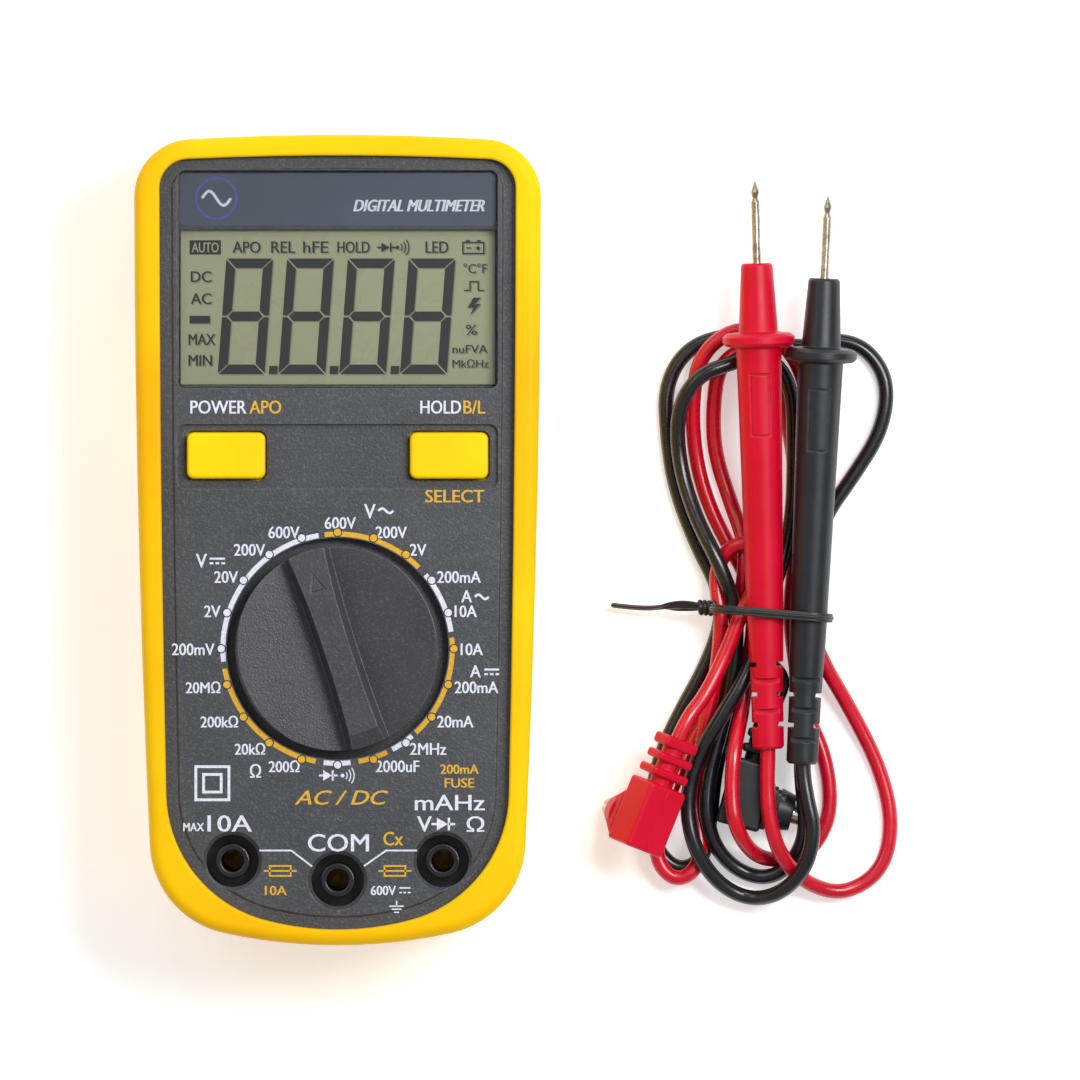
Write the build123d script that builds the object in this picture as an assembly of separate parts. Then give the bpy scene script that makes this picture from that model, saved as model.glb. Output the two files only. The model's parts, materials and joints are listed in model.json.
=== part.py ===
"""A handheld digital multimeter in a yellow holster, with its pair of test leads folded beside it.

The meter lies on its back. +X is to its right, +Y towards its display and +Z out of its face. The origin
is the middle of the meter's footprint on the table. All sizes are in millimetres.
"""
from build123d import *
from math import cos, radians, sin, sqrt
import os

os.makedirs("parts", exist_ok=True)

# ---- Holster and case ----
HALF_LENGTH = 73.5        # holster, along Y: the meter is 147 long
HALF_WIDTH_TOP = 36.9     # holster at its top corners, before they are rounded
HALF_WIDTH_LOW = 33.5     # holster at its bottom corners, before they are rounded
RIM_Z = 36.5              # front rim of the holster
PANEL_Z = 34.5            # raised panel of the front case, which carries the markings
BORDER_Z = 34.0           # border of the front case round that panel
FRONT_INNER_Z = 31.8      # inside of the front wall
SPLIT_Z = 19.0            # joint line between the two case halves
REAR_INNER_Z = 4.8        # inside of the rear wall
BACK_Z = 2.6              # back of the rear case
HOLSTER_BACK = 2.5        # thickness of the holster's back flange
WALL = 2.0                # side walls of the case
CASE_OVERLAP = 1.2        # how far the holster's rim covers the edge of the case
BACK_OPENING = 5.25       # width of the holster's back flange over the case
LIP = 1.2                 # height of the rear case's tongue in the front case
GAP = 0.1                 # clearance between pieces that sit together
PANEL_INSET = 2.2         # from the holster's rim to the raised panel
FACE_LOW_ARC = 51.3       # radius of the bottom edge of the face

# ---- Window and display ----
WINDOW_HALF = 28.95
WINDOW_Y = (27.65, 66.95)
LENS_Z = (32.8, 34.3)
STRIP_LOW = 56.8          # lower edge of the title strip behind the lens
STRIP_DEPTH = 0.15
DISPLAY_HALF = 28.75
DISPLAY_Y = (27.95, 56.4)
GLASS_Z = (29.6, 31.4)
SKIRT_Z = 29.9            # lower edge of the wall round the display opening

# ---- Selector ----
KNOB_Y = -19.7
KNOB_HOLE_R = 20.1
DISC_R = 18.5
DISC_Z = 37.6
GRIP_Z = 41.2
FLANGE_R = 21.2
RING_R = (21.3, 22.7)     # wall of the front case that the selector turns in
RING_Z = 26.0
ROTOR_R = 20.6
ROTOR_Z = (26.2, 30.4)
SPIGOT = 10.0             # square peg of the knob in the rotor
POSITIONS = 20            # clicks in one turn
POINTER_ANGLE = 18.0      # the selector rests one click to the left of the top
BALL_R = 1.2
BALL_AT = 19.95
BALL_Z = 28.3

# ---- Buttons ----
BUTTON_X = 20.2
BUTTON_Y = 15.3
BUTTON = (14.2, 8.4)
BUTTON_TOP_Z = 35.9
BUTTON_SKIRT_Z = (30.6, 31.6)   # flange that keeps a button behind the panel
TRAY_HALF = 29.1
TRAY_Y = (9.3, 21.0)
TRAY_Z = 33.6

# ---- Input jacks ----
JACK_PITCH = 19.05
JACKS = {"10a": (-JACK_PITCH, -58.2), "com": (0.0, -61.7), "volt": (JACK_PITCH, -58.2)}
WELL_R = 4.75
JACK_BORE_R = 2.0         # takes a 4 mm plug
JACK_BORE_Z = (9.0, 27.0)  # metal part of the bore; the collar carries it on up
SOCKET_R = 2.9
BUSHING_R = 5.7
COLLAR_R = 3.1
COLLAR_TOP_Z = 33.4

# ---- Circuit board ----
PCB_Z = (23.4, 25.0)
PCB_INSET = 3.2
CASE_SCREWS = [(-28.0, 65.2), (28.0, 65.2), (-28.2, -42.0), (28.2, -42.0)]
PCB_SCREWS = [(-28.6, 24.0), (28.6, 24.0), (-24.0, -46.5), (24.0, -46.5)]
FUSE_Y = -50.0
FUSE_Z = 19.6
BUZZER_AT = (-18.5, 20.5)

# ---- Battery ----
BATTERY = (46.5, 26.4, 17.4)
BATTERY_LEFT = -25.0
BATTERY_Y = 42.5
BATTERY_Z = 5.0
BAY_HALF = 25.7
BAY_Y = (28.5, 56.5)
BAY_WALL = 1.5
BAY_TOP = 22.8
DOOR_HALF = 27.4
DOOR_Y = (26.0, 59.0)
DOOR_TAB = (6.0, 64.0)    # half width and top edge of the tab that takes the screw
DOOR_SCREW_Y = 61.3
DOOR_Z = (BACK_Z, 4.4)

# ---- Tilt stand ----
STAND_HALF = 21.5
STAND_LOW = -44.0
STAND_Z = (3.0, 5.6)
HINGE_Y = 12.0
HINGE_Z = 4.4
BARREL_R = 1.4
PIN_R = 1.0
PIN_CLEARANCE = 0.05
POCKET_Z = 6.0
POCKET_ROOF_Z = 7.6

# ---- Test leads ----
CORD_R = 1.4
PROBE_LENGTH = 104.0      # from the point to the end of the strain relief
PROBE_DIP = 2.75          # degrees that the tail lies lower than the point
# the point of each probe, and the turn of its axis from straight down the Y axis
PROBES = {"red": (75.9, 65.7, 15.0, 1.4), "black": (89.3, 62.9, 15.0, -2.6)}
SLOT_ROLLS = {"red": 0, "black": 90}  # turn of each strain relief's slots
PLUG_BODY = (8.0, 12.5, 8.0)  # along its pin, along its cord, and its width
SHROUD_END = 9.2          # from the plug's middle, along its pin
PIN_END = 13.0
PIN_SIDE = -1.2           # the pin leaves the body this far from its middle, away from the cord
NECK = 9.1                # length of the ribbed neck that the cord comes out of
# middle of each plug, the turn of its cord from the Y axis, and its roll about its cord
PLUGS = {"red": (56.2, -50.4, 12.3, -22.0, 121.0), "black": (74.4, -46.5, 4.2, -15.0, 0.0)}
NECK_WIDTHS = {"red": 7.9, "black": 5.9}  # widest rib: the red probe lies over the black neck
HANK_SPLIT_Z = 3.5        # the black lead fills the space below, the red lead the space above
HANK_TOP_Z = 7.0
TIE_PLACE = (79.0, -13.4)  # middle of the tie that goes round the bundle
TIE_SIZE = (23.0, 16.4)   # width and height of the tie's loop
TIE_WIRE = 1.2
TIE_TURN = -4.7
TIE_CORNER = 4.6
# closed outlines of the two folded cords on the table
HANK_PLANS = {
    "black": [
        (68, 37.5), (82, 38.5), (96, 35), (101.5, 22), (96, 4), (88.0, -14), (88.5, -36), (89, -54),
        (77, -66), (66, -62), (62, -46), (66, -24), (69.5, -13), (64.0, 8), (59.5, 26),
    ],
    "red": [
        (68, 37), (80, 38), (87, 24), (87.0, 4), (88, -14), (95, -30), (101.5, -50), (93, -63.5),
        (80, -63), (67, -61), (64.5, -44), (67, -24), (69.8, -13), (66.5, 8), (64, 26),
    ],
}
HANK_HEIGHTS = {"black": (0.0, HANK_SPLIT_Z), "red": (HANK_SPLIT_Z, HANK_TOP_Z)}


def slab(sketch, low, high):
    """A flat outline raised into a solid between two heights."""
    return Pos(0, 0, low) * extrude(sketch, amount=high - low)


def tube(outer_r, inner_r, low, high, x=0.0, y=0.0):
    """A round sleeve standing on its end."""
    return Pos(x, y, 0) * slab(Circle(outer_r) - Circle(inner_r), low, high)


def rod(radius, low, high, x=0.0, y=0.0):
    """A round bar standing on its end."""
    return Pos(x, y, 0) * slab(Circle(radius), low, high)


def block(x_span, y_span, z_span, corner=0.0):
    """A box between three pairs of limits, with its upright edges rounded if asked."""
    width, depth = x_span[1] - x_span[0], y_span[1] - y_span[0]
    plan = RectangleRounded(width, depth, corner) if corner else Rectangle(width, depth)
    return Pos(sum(x_span) / 2, sum(y_span) / 2, 0) * slab(plan, *z_span)


def centred(half, y_span, z_span, corner=0.0):
    """A box that is symmetric about the meter's centre line."""
    return block((-half, half), y_span, z_span, corner)


def plan_outline(half_top, half_low, y_top, y_low, crown, sag, bulge, r_top, r_low):
    """The meter's plan: a crowned top, slightly bowed tapering sides and a deep curved bottom."""
    top, low = y_top - crown, y_low + sag
    side, middle = (half_top + half_low) / 2 + bulge, (top + low) / 2
    edges = [
        ThreePointArc((-half_top, top), (0, y_top), (half_top, top)),
        ThreePointArc((half_top, top), (side, middle), (half_low, low)),
        ThreePointArc((half_low, low), (0, y_low), (-half_low, low)),
        ThreePointArc((-half_low, low), (-side, middle), (-half_top, top)),
    ]
    face = make_face(edges)
    face = fillet(face.vertices().sort_by(Axis.Y)[-2:], r_top)
    return fillet(face.vertices().sort_by(Axis.Y)[:2], r_low)


def face_plan(grow=0.0):
    """Outline of the dark face inside the holster's rim, grown or shrunk evenly all round."""
    half_low, arc = 30.7 + grow, FACE_LOW_ARC + grow
    sag = arc - sqrt(arc**2 - half_low**2)
    return plan_outline(
        32.3 + grow, half_low, 69.7 + grow, -70.6 - grow, 0.9, sag, 0.4, 5.2 + grow, 24.0 + grow
    )


def case_plan(inset=0.0):
    """Outline of the case, or of a wall set in from it."""
    return face_plan(CASE_OVERLAP - inset)


OUTER_PLAN = plan_outline(
    HALF_WIDTH_TOP, HALF_WIDTH_LOW, HALF_LENGTH, -HALF_LENGTH, 1.5, 6.0, 0.9, 10.5, 17.0
)


def holster():
    """Rubber sleeve: side walls, a front rim over the edge of the case and an open back flange."""
    body = slab(OUTER_PLAN, 0, RIM_Z)
    body = fillet(body.faces().sort_by(Axis.Z)[-1].outer_wire().edges(), 2.2)
    body = fillet(body.faces().sort_by(Axis.Z)[0].outer_wire().edges(), 1.6)
    body -= slab(case_plan(-0.05), HOLSTER_BACK, BORDER_Z + GAP)
    body -= slab(face_plan(), BORDER_Z, RIM_Z + 1)
    inner_rim = body.faces().filter_by(Axis.Z).sort_by(Axis.Z)[-1].inner_wires()[0].edges()
    body = fillet(inner_rim, 0.55)
    return body - slab(case_plan(BACK_OPENING), -1, HOLSTER_BACK + 1)


def case_posts(radius, low, high):
    """The pillars that the four case screws pass through, kept inside the case's outline."""
    posts = Sketch() + [Pos(x, y) * Circle(radius) for x, y in CASE_SCREWS]
    return slab(posts & case_plan(WALL / 2), low, high)


def pocket_walls():
    """Inner walls that carry the tilt stand's pocket, the battery bay and the buzzer."""
    stand = centred(STAND_HALF + 3.5, (STAND_LOW - 2.2, HINGE_Y + 4.2), (REAR_INNER_Z, POCKET_ROOF_Z))
    bay = centred(BAY_HALF + BAY_WALL, (BAY_Y[0] - BAY_WALL, BAY_Y[1] + BAY_WALL), (4.55, BAY_TOP))
    collar = centred(30.2, (BAY_Y[0] - 3.4, BAY_Y[1] + 4.2), (4.55, 6.2))
    tab_post = rod(3.6, 4.55, 14.0, 0, DOOR_SCREW_Y) + centred(7.4, (57.5, 65.4), (4.55, 6.2))
    return [stand, bay, collar, tab_post, tube(7.6, 6.3, 4.6, 8.0, *BUZZER_AT)]


def rear_case():
    """Back half of the case, with the stand's pocket, the battery bay and the screw pillars."""
    body = slab(case_plan(), BACK_Z, SPLIT_Z)
    body = fillet(body.faces().sort_by(Axis.Z)[0].outer_wire().edges(), 1.2)
    body -= slab(case_plan(WALL), REAR_INNER_Z, SPLIT_Z + 1)
    tongue = case_plan(WALL / 2 + GAP) - case_plan(WALL)
    body += slab(tongue, SPLIT_Z - 1, SPLIT_Z + LIP)
    body += case_posts(4.0, REAR_INNER_Z - 1, SPLIT_Z)
    for wall in pocket_walls():
        body += wall
    body -= centred(BAY_HALF, BAY_Y, (BACK_Z - 1, BAY_TOP + 1))
    body -= centred(DOOR_HALF + GAP, (DOOR_Y[0] - GAP, DOOR_Y[1] + GAP), (BACK_Z - 1, 4.5), 1.6)
    body -= centred(DOOR_TAB[0] + GAP, (DOOR_Y[1] - 2, DOOR_TAB[1] + GAP), (BACK_Z - 1, 4.5), 1.6)
    body -= rod(1.3, 4.0, 13.0, 0, DOOR_SCREW_Y)
    pocket = centred(STAND_HALF + 0.4, (STAND_LOW - 0.6, HINGE_Y + 2.4), (BACK_Z - 1, POCKET_Z), 1.5)
    body -= pocket
    body -= centred(6.0, (STAND_LOW - 4.2, STAND_LOW), (BACK_Z - 1, REAR_INNER_Z - 1), 1.2)
    bore = Pos(0, HINGE_Y, HINGE_Z) * Rot(0, 90, 0) * Cylinder(PIN_R + PIN_CLEARANCE, 47.4)
    body -= bore
    for x, y in CASE_SCREWS:
        body -= rod(2.9, BACK_Z - 1, 9.0, x, y)
        body -= rod(1.6, 8.0, SPLIT_Z + 1, x, y)
    body -= centred(20.0, (-62.0, -52.0), (BACK_Z - 1, BACK_Z + 0.4), 1.0)
    holes = [Pos(dx, dy) * Circle(0.7) for dx in (-2.6, 0, 2.6) for dy in (-2, 0, 2)]
    return body - Pos(*BUZZER_AT, 0) * slab(Sketch() + holes, BACK_Z - 1, REAR_INNER_Z + 1)


def selector_ring():
    """The round wall that the selector turns in, with its ring of detent hollows."""
    ring = tube(RING_R[1], RING_R[0], RING_Z, FRONT_INNER_Z + 0.5)
    for click in range(POSITIONS):
        angle = radians(click * 360 / POSITIONS)
        ring -= rod(1.35, RING_Z - 1, BALL_Z + 1.4, 20.6 * cos(angle), 20.6 * sin(angle))
    return Pos(0, KNOB_Y, 0) * ring


def front_case():
    """Front half of the case: the marked panel with its window, tray, selector hole and jack holes."""
    body = slab(case_plan(), SPLIT_Z, BORDER_Z)
    body = fillet(body.faces().sort_by(Axis.Z)[-1].outer_wire().edges(), 0.6)
    panel = slab(face_plan(-PANEL_INSET), BORDER_Z - 1, PANEL_Z)
    body += chamfer(panel.faces().sort_by(Axis.Z)[-1].outer_wire().edges(), 0.3)
    body -= slab(case_plan(WALL), SPLIT_Z - 1, FRONT_INNER_Z)
    skirt = centred(DISPLAY_HALF + 1.2, (DISPLAY_Y[0] - 1.2, DISPLAY_Y[1] + 1.2), (SKIRT_Z, LENS_Z[0]))
    body += skirt
    body += case_posts(3.2, SPLIT_Z, FRONT_INNER_Z + 0.5)
    groove = case_plan(WALL / 2) - case_plan(WALL + GAP)
    body -= slab(groove, SPLIT_Z - 1, SPLIT_Z + LIP + GAP)
    for x, y in PCB_SCREWS:
        body += rod(2.3, PCB_Z[1], FRONT_INNER_Z + 0.5, x, y)
        body -= rod(0.95, PCB_Z[1] - 1, PCB_Z[1] + 5.5, x, y)
    for x, y in CASE_SCREWS:
        body -= rod(1.35, SPLIT_Z - 1, 27.0, x, y)
    body += selector_ring()
    body -= centred(WINDOW_HALF + 0.1, (WINDOW_Y[0] - 0.1, WINDOW_Y[1] + 0.1), (LENS_Z[0], 40), 1.4)
    body -= centred(WINDOW_HALF - 0.1, (STRIP_LOW, WINDOW_Y[1] - 0.1), (LENS_Z[0] - STRIP_DEPTH, 40), 1.3)
    body -= centred(DISPLAY_HALF, DISPLAY_Y, (SKIRT_Z - 1, 40))
    body -= centred(TRAY_HALF, TRAY_Y, (TRAY_Z, 40), 1.6)
    for side in (-1, 1):
        body -= Pos(side * BUTTON_X, BUTTON_Y, 0) * slab(
            RectangleRounded(BUTTON[0] + 0.7, BUTTON[1] + 0.7, 1.6), FRONT_INNER_Z - 1, 40
        )
    body -= rod(KNOB_HOLE_R, FRONT_INNER_Z - 1, 40, 0, KNOB_Y)
    for x, y in JACKS.values():
        body -= rod(WELL_R, FRONT_INNER_Z - 1, 40, x, y)
        body -= Pos(x, y, PANEL_Z - 0.35) * Cone(WELL_R, WELL_R + 0.7, 0.7)
    return body


def display_lens():
    """Clear plate over the title strip and the display."""
    plate = centred(WINDOW_HALF, WINDOW_Y, LENS_Z, 1.3)
    return chamfer(plate.faces().sort_by(Axis.Z)[-1].outer_wire().edges(), 0.3)


def title_strip():
    """Thin printed film behind the top of the lens."""
    return centred(WINDOW_HALF - 0.25, (STRIP_LOW + 0.1, WINDOW_Y[1] - 0.25), (32.66, 32.79), 1.2)


def lcd_glass():
    """The display cell: two sheets of glass, the upper one a little shorter at the contact edge."""
    lower = centred(28.5, (28.25, 56.1), (GLASS_Z[0], 30.5))
    return lower + centred(28.5, (28.25, 55.2), (30.4, GLASS_Z[1]))


def lcd_frame():
    """Plastic frame that holds the cell, the light panel and the contact strips on the board."""
    body = centred(30.3, (26.8, 58.0), (PCB_Z[1], 29.85))
    body -= centred(28.65, (28.1, 56.25), (GLASS_Z[0], 31))
    return body - centred(26.9, (28.9, 55.9), (PCB_Z[1] - 1, 31))


def lcd_contact_strips():
    """Two strips of striped conductive rubber between the board and the cell."""
    spans = [(29.1, 30.9), (53.9, 55.7)]
    return [centred(26.6, span, (PCB_Z[1], GLASS_Z[0])) for span in spans]


def backlight_panel():
    """White light guide under the cell."""
    return centred(25.6, (31.4, 53.4), (27.6, GLASS_Z[0] - GAP), 0.8)


def main_pcb():
    """The circuit board."""
    board = case_plan(PCB_INSET)
    for x, y in CASE_SCREWS:
        board -= Pos(x, y) * Circle(3.9)
    for x, y in PCB_SCREWS:
        board -= Pos(x, y) * Circle(1.3)
    for x, y in JACKS.values():
        board -= Pos(x, y) * Circle(3.0)
    board -= Pos(0, KNOB_Y) * Circle(2.5)
    return slab(board, *PCB_Z)


def spin(piece):
    """Turn a piece of the selector to its rest position and set it on the selector's axis."""
    return Pos(0, KNOB_Y, 0) * Rot(0, 0, POINTER_ANGLE) * piece


def selector_knob():
    """Disc with two sloping halves, a waisted grip bar across it and a flange below the panel."""
    disc = rod(DISC_R, 31.4, DISC_Z)
    disc = chamfer(disc.faces().sort_by(Axis.Z)[-1].edges(), 0.5)
    for side in (1, -1):
        inner, outer = 2.0 * side, 19.5 * side
        slope = Polygon((inner, 36.0), (outer, 37.75), (outer, 45.0), (inner, 45.0), align=None)
        disc -= extrude(Plane.XZ * slope, amount=25, both=True)
    right = ThreePointArc((3.4, 22.0), (2.35, -3.0), (3.1, -22.0))
    left = ThreePointArc((-3.1, -22.0), (-2.35, -3.0), (-3.4, 22.0))
    top = make_face([right, Line((3.1, -22.0), (-3.1, -22.0)), left, Line((-3.4, 22.0), (3.4, 22.0))])
    grip = Pos(0, 0, GRIP_Z) * extrude(top, amount=-7.0, taper=-12)
    grip &= rod(DISC_R - 0.05, 34.5, GRIP_Z + 1)
    ramp = Polygon((8.6, GRIP_Z), (20.0, GRIP_Z - 1.5), (20.0, 46.0), (8.6, 46.0), align=None)
    grip -= extrude(Plane.YZ * ramp, amount=10, both=True)
    tail = Polygon((-15.6, GRIP_Z), (-20.0, GRIP_Z - 2.4), (-20.0, 46.0), (-15.6, 46.0), align=None)
    grip -= extrude(Plane.YZ * tail, amount=10, both=True)
    knob = disc + grip
    arrow = Polygon((0, 5.8), (-1.5, 2.3), (1.5, 2.3), align=None)
    cut = extrude(arrow - offset(arrow, amount=-0.3), amount=3)
    knob -= Pos(0, 8.6, GRIP_Z - 0.22) * Rot(-7.5, 0, 0) * cut
    knob += rod(FLANGE_R, 30.6, 31.6)
    knob -= tube(16.8, 8.0, 30.0, 34.4)
    return spin(knob + block((-SPIGOT / 2, SPIGOT / 2), (-SPIGOT / 2, SPIGOT / 2), (26.6, 31.0)))


def selector_rotor():
    """Carrier under the knob: it holds the contacts, the detent balls and the axle."""
    body = rod(ROTOR_R, *ROTOR_Z) + rod(2.4, 22.2, 26.5)
    half = SPIGOT / 2 + 0.05
    body -= block((-half, half), (-half, half), (26.5, 31.0))
    for side in (-1, 1):
        body -= Pos(side * 17.4, 0, BALL_Z) * Rot(0, 90, 0) * Cylinder(BALL_R + 0.1, 8.0)
    return spin(body)


def detent_springs():
    """Two short springs that push the balls outwards."""
    coil = Circle(1.1) - Circle(0.75)
    springs = [Pos(side * 16.05, 0, BALL_Z) * Rot(0, 90, 0) for side in (-1, 1)]
    return [spin(place * Pos(0, 0, -2.6) * extrude(coil, amount=5.2)) for place in springs]


def detent_balls():
    """Two steel balls that click into the hollows of the selector's ring."""
    return [spin(Pos(side * BALL_AT, 0, BALL_Z) * Sphere(BALL_R)) for side in (-1, 1)]


def selector_contacts():
    """Leaf contacts under the rotor that bridge the tracks of the board."""
    leaves = []
    for side in (-1, 1):
        for radius in (7.0, 10.5, 14.0, 17.5):
            leaf = block((-1.6, 1.6), (radius - 0.7, radius + 0.7), (25.9, ROTOR_Z[0]))
            leaf += block((-0.5, 0.5), (radius - 0.7, radius + 0.7), (PCB_Z[1] + 0.05, 26.0))
            leaves.append(spin(leaf if side == 1 else Rot(0, 0, 180) * leaf))
    return leaves


def button_cap(side):
    """A push button: a crowned cap with a flange that keeps it behind the panel."""
    cap = slab(RectangleRounded(*BUTTON, 1.3), BUTTON_SKIRT_Z[0] + 0.4, BUTTON_TOP_Z)
    cap = fillet(cap.faces().sort_by(Axis.Z)[-1].edges(), 0.7)
    cap += slab(RectangleRounded(BUTTON[0] + 2.0, BUTTON[1] + 2.0, 1.5), *BUTTON_SKIRT_Z)
    return Pos(side * BUTTON_X, BUTTON_Y, 0) * cap


def switch_plunger(side):
    """The stem between a button and its switch."""
    return rod(1.5, 27.9, BUTTON_SKIRT_Z[0], side * BUTTON_X, BUTTON_Y)


def switch_body(side):
    """A board-mounted push switch with a hole for its stem."""
    x, y = side * BUTTON_X, BUTTON_Y
    body = block((x - 4.2, x + 4.2), (y - 4.2, y + 4.2), (PCB_Z[1], 28.4), 0.6)
    return body - rod(1.6, 25.6, 29.0, x, y)


def jack_bushing(x, y):
    """Insulating well of one jack, with a raised collar round the plug's hole."""
    floor = JACK_BORE_Z[1]
    body = tube(BUSHING_R, WELL_R, floor, FRONT_INNER_Z - 0.05) + rod(BUSHING_R, PCB_Z[1], floor + 0.5)
    collar = tube(COLLAR_R, JACK_BORE_R, floor, COLLAR_TOP_Z)
    body += fillet(collar.faces().sort_by(Axis.Z)[-1].edges(), 0.3)
    body -= rod(JACK_BORE_R, floor - 1.0, COLLAR_TOP_Z + 1.0)
    return Pos(x, y, 0) * (body - rod(SOCKET_R + 0.05, PCB_Z[1] - 1, floor))


def jack_socket(x, y):
    """Brass tube that takes the plug, soldered to the board by its flange."""
    low, high = JACK_BORE_Z
    body = rod(SOCKET_R, low - 1.0, high) + rod(4.0, PCB_Z[0] - 0.8, PCB_Z[0])
    return Pos(x, y, 0) * (body - rod(JACK_BORE_R, low, high + 1))


def along_x(piece, x):
    """Lay an upright piece along X on the fuse's axis."""
    return Pos(x, FUSE_Y, FUSE_Z) * Rot(0, 90, 0) * piece


def fuse_tube():
    """Glass body of the fuse."""
    return along_x(Cylinder(2.35, 14.0), 0)


def fuse_caps():
    """The fuse's two end caps."""
    cap = Cylinder(2.6, 3.9)
    return [along_x(cap, side * 8.0) - fuse_tube() for side in (-1, 1)]


def fuse_clips():
    """Two sprung clips that hold the fuse by its caps."""
    clips = []
    for side in (-1, 1):
        x = side * 8.3
        body = block((x - 1.4, x + 1.4), (FUSE_Y - 3.2, FUSE_Y + 3.2), (18.2, PCB_Z[0]))
        body -= along_x(Cylinder(2.62, 4.0), x)
        clips.append(body - block((x - 2, x + 2), (FUSE_Y - 2.2, FUSE_Y + 2.2), (17.0, FUSE_Z)))
    return clips


def current_shunt():
    """Thick wire bridge between the high-current jack and the common jack."""
    high, low = PCB_Z[0], 16.5
    points = [(-13.5, -56, high), (-13.5, -56, low), (-4.2, -56, low), (-4.2, -56, high)]
    path = FilletPolyline(*points, radius=2.2)
    return sweep(Plane(path @ 0, z_dir=path % 0) * Circle(0.8), path=path)


def chip_blob():
    """The measuring chip under its drop of resin."""
    drop = rod(6.5, PCB_Z[0] - 1.8, PCB_Z[0], 0, 5.0)
    return fillet(drop.faces().sort_by(Axis.Z)[0].edges(), 1.5)


def capacitors():
    """Two upright electrolytic capacitors."""
    return [rod(2.5, 16.4, PCB_Z[0], x, y) for x, y in ((-24.0, 4.0), (-24.0, -4.0))]


def trimmer():
    """Calibration potentiometer with its slotted screw."""
    body = block((19.0, 25.0), (0.0, 6.0), (19.6, PCB_Z[0]), 0.4)
    return body - block((20.6, 23.4), (2.7, 3.3), (19.0, 20.1))


def ptc_thermistor():
    """Protective thermistor disc standing on two legs."""
    disc = Pos(24.0, -30.0, 17.0) * Rot(90, 0, 0) * Cylinder(4.0, 2.4)
    return disc + rod(0.35, 17.0, PCB_Z[0], 22.2, -30.0) + rod(0.35, 17.0, PCB_Z[0], 25.8, -30.0)


def buzzer():
    """Sounder can over the sound holes of the rear case, on the board by two pins."""
    can = rod(6.0, 8.2, 13.0) - rod(0.8, 8.0, 10.0)
    pins = rod(0.4, 12.5, PCB_Z[0], -3.5) + rod(0.4, 12.5, PCB_Z[0], 3.5)
    return Pos(*BUZZER_AT, 0) * (can + pins)


def chip_resistors():
    """Rows of small surface resistors."""
    chips = []
    for row in range(3):
        for place in range(5):
            x, y = 10.0 + 3.2 * place, -12.0 - 3.0 * row
            chips.append(block((x - 1.0, x + 1.0), (y - 0.6, y + 0.6), (PCB_Z[0] - 0.6, PCB_Z[0])))
    return chips


def battery():
    """Nine-volt block lying across the case, with its two snap terminals on the right."""
    y_span = (BATTERY_Y - BATTERY[1] / 2, BATTERY_Y + BATTERY[1] / 2)
    right = BATTERY_LEFT + BATTERY[0]
    body = block((BATTERY_LEFT, right), y_span, (BATTERY_Z, BATTERY_Z + BATTERY[2]))
    body = fillet(body.edges().filter_by(Axis.X), 1.8)
    for side, radius in ((-1, 2.7), (1, 3.6)):
        terminal = Pos(right + 0.9, BATTERY_Y + side * 6.35, 13.7) * Rot(0, 90, 0)
        body += terminal * Cylinder(radius, 1.8)
    return body


def battery_contacts():
    """Contact block on the board that the battery's terminals press against."""
    return block((23.4, 25.6), (32.0, 53.0), (7.0, PCB_Z[0]), 0.4)


def battery_door():
    """Cover of the battery bay with its screw tab and finger grooves."""
    plate = centred(DOOR_HALF, DOOR_Y, DOOR_Z, 1.5)
    plate += centred(DOOR_TAB[0], (DOOR_Y[1] - 3, DOOR_TAB[1]), DOOR_Z, 1.5)
    rib = centred(25.2, (29.0, 56.0), (DOOR_Z[1], 4.9)) - centred(23.8, (30.4, 54.6), (4.0, 5.0))
    plate += rib
    plate -= rod(1.7, 0, 6, 0, DOOR_SCREW_Y) + rod(2.8, 0, 3.6, 0, DOOR_SCREW_Y)
    for groove in range(4):
        y = 31.0 + 1.8 * groove
        plate -= centred(9.0 - groove, (y, y + 0.8), (BACK_Z - 1, BACK_Z + 0.4))
    return plate


def screw(head_r, head, shank_r, tip_z):
    """A cross-head screw pointing up, its head between two heights."""
    body = rod(head_r, *head) + rod(shank_r, head[1] - 0.1, tip_z)
    slot = block((-1.4, 1.4), (-0.3, 0.3), (head[0] - 1, head[0] + 0.6))
    return body - slot - Rot(0, 0, 90) * slot


def tilt_stand():
    """Fold-out leg: a ribbed plate with a hinge barrel and two stub pins."""
    plate = centred(STAND_HALF, (STAND_LOW, HINGE_Y), STAND_Z, 1.4)
    plate += Pos(0, HINGE_Y, HINGE_Z) * Rot(0, 90, 0) * Cylinder(BARREL_R, 2 * STAND_HALF)
    plate += Pos(0, HINGE_Y, HINGE_Z) * Rot(0, 90, 0) * Cylinder(PIN_R, 2 * STAND_HALF + 3.2)
    plate -= centred(15.0, (-34.0, 4.0), (STAND_Z[0] - 1, STAND_Z[0] + 0.8), 3.0)
    for rib in range(4):
        y = -28.0 + 8.5 * rib
        plate += centred(15.0, (y, y + 1.2), (STAND_Z[0] + 0.3, STAND_Z[0] + 1.0))
    return plate - centred(6.0, (STAND_LOW - 1, STAND_LOW + 1.6), (STAND_Z[0] - 1, STAND_Z[0] + 1.4))


def probe_frame(colour):
    """Axis of one probe: Z runs from its point towards its cord."""
    x, y, z, turn = PROBES[colour]
    return Pos(x, y, z) * Rot(0, 0, turn) * Rot(90 + PROBE_DIP, 0, 0)


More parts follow.
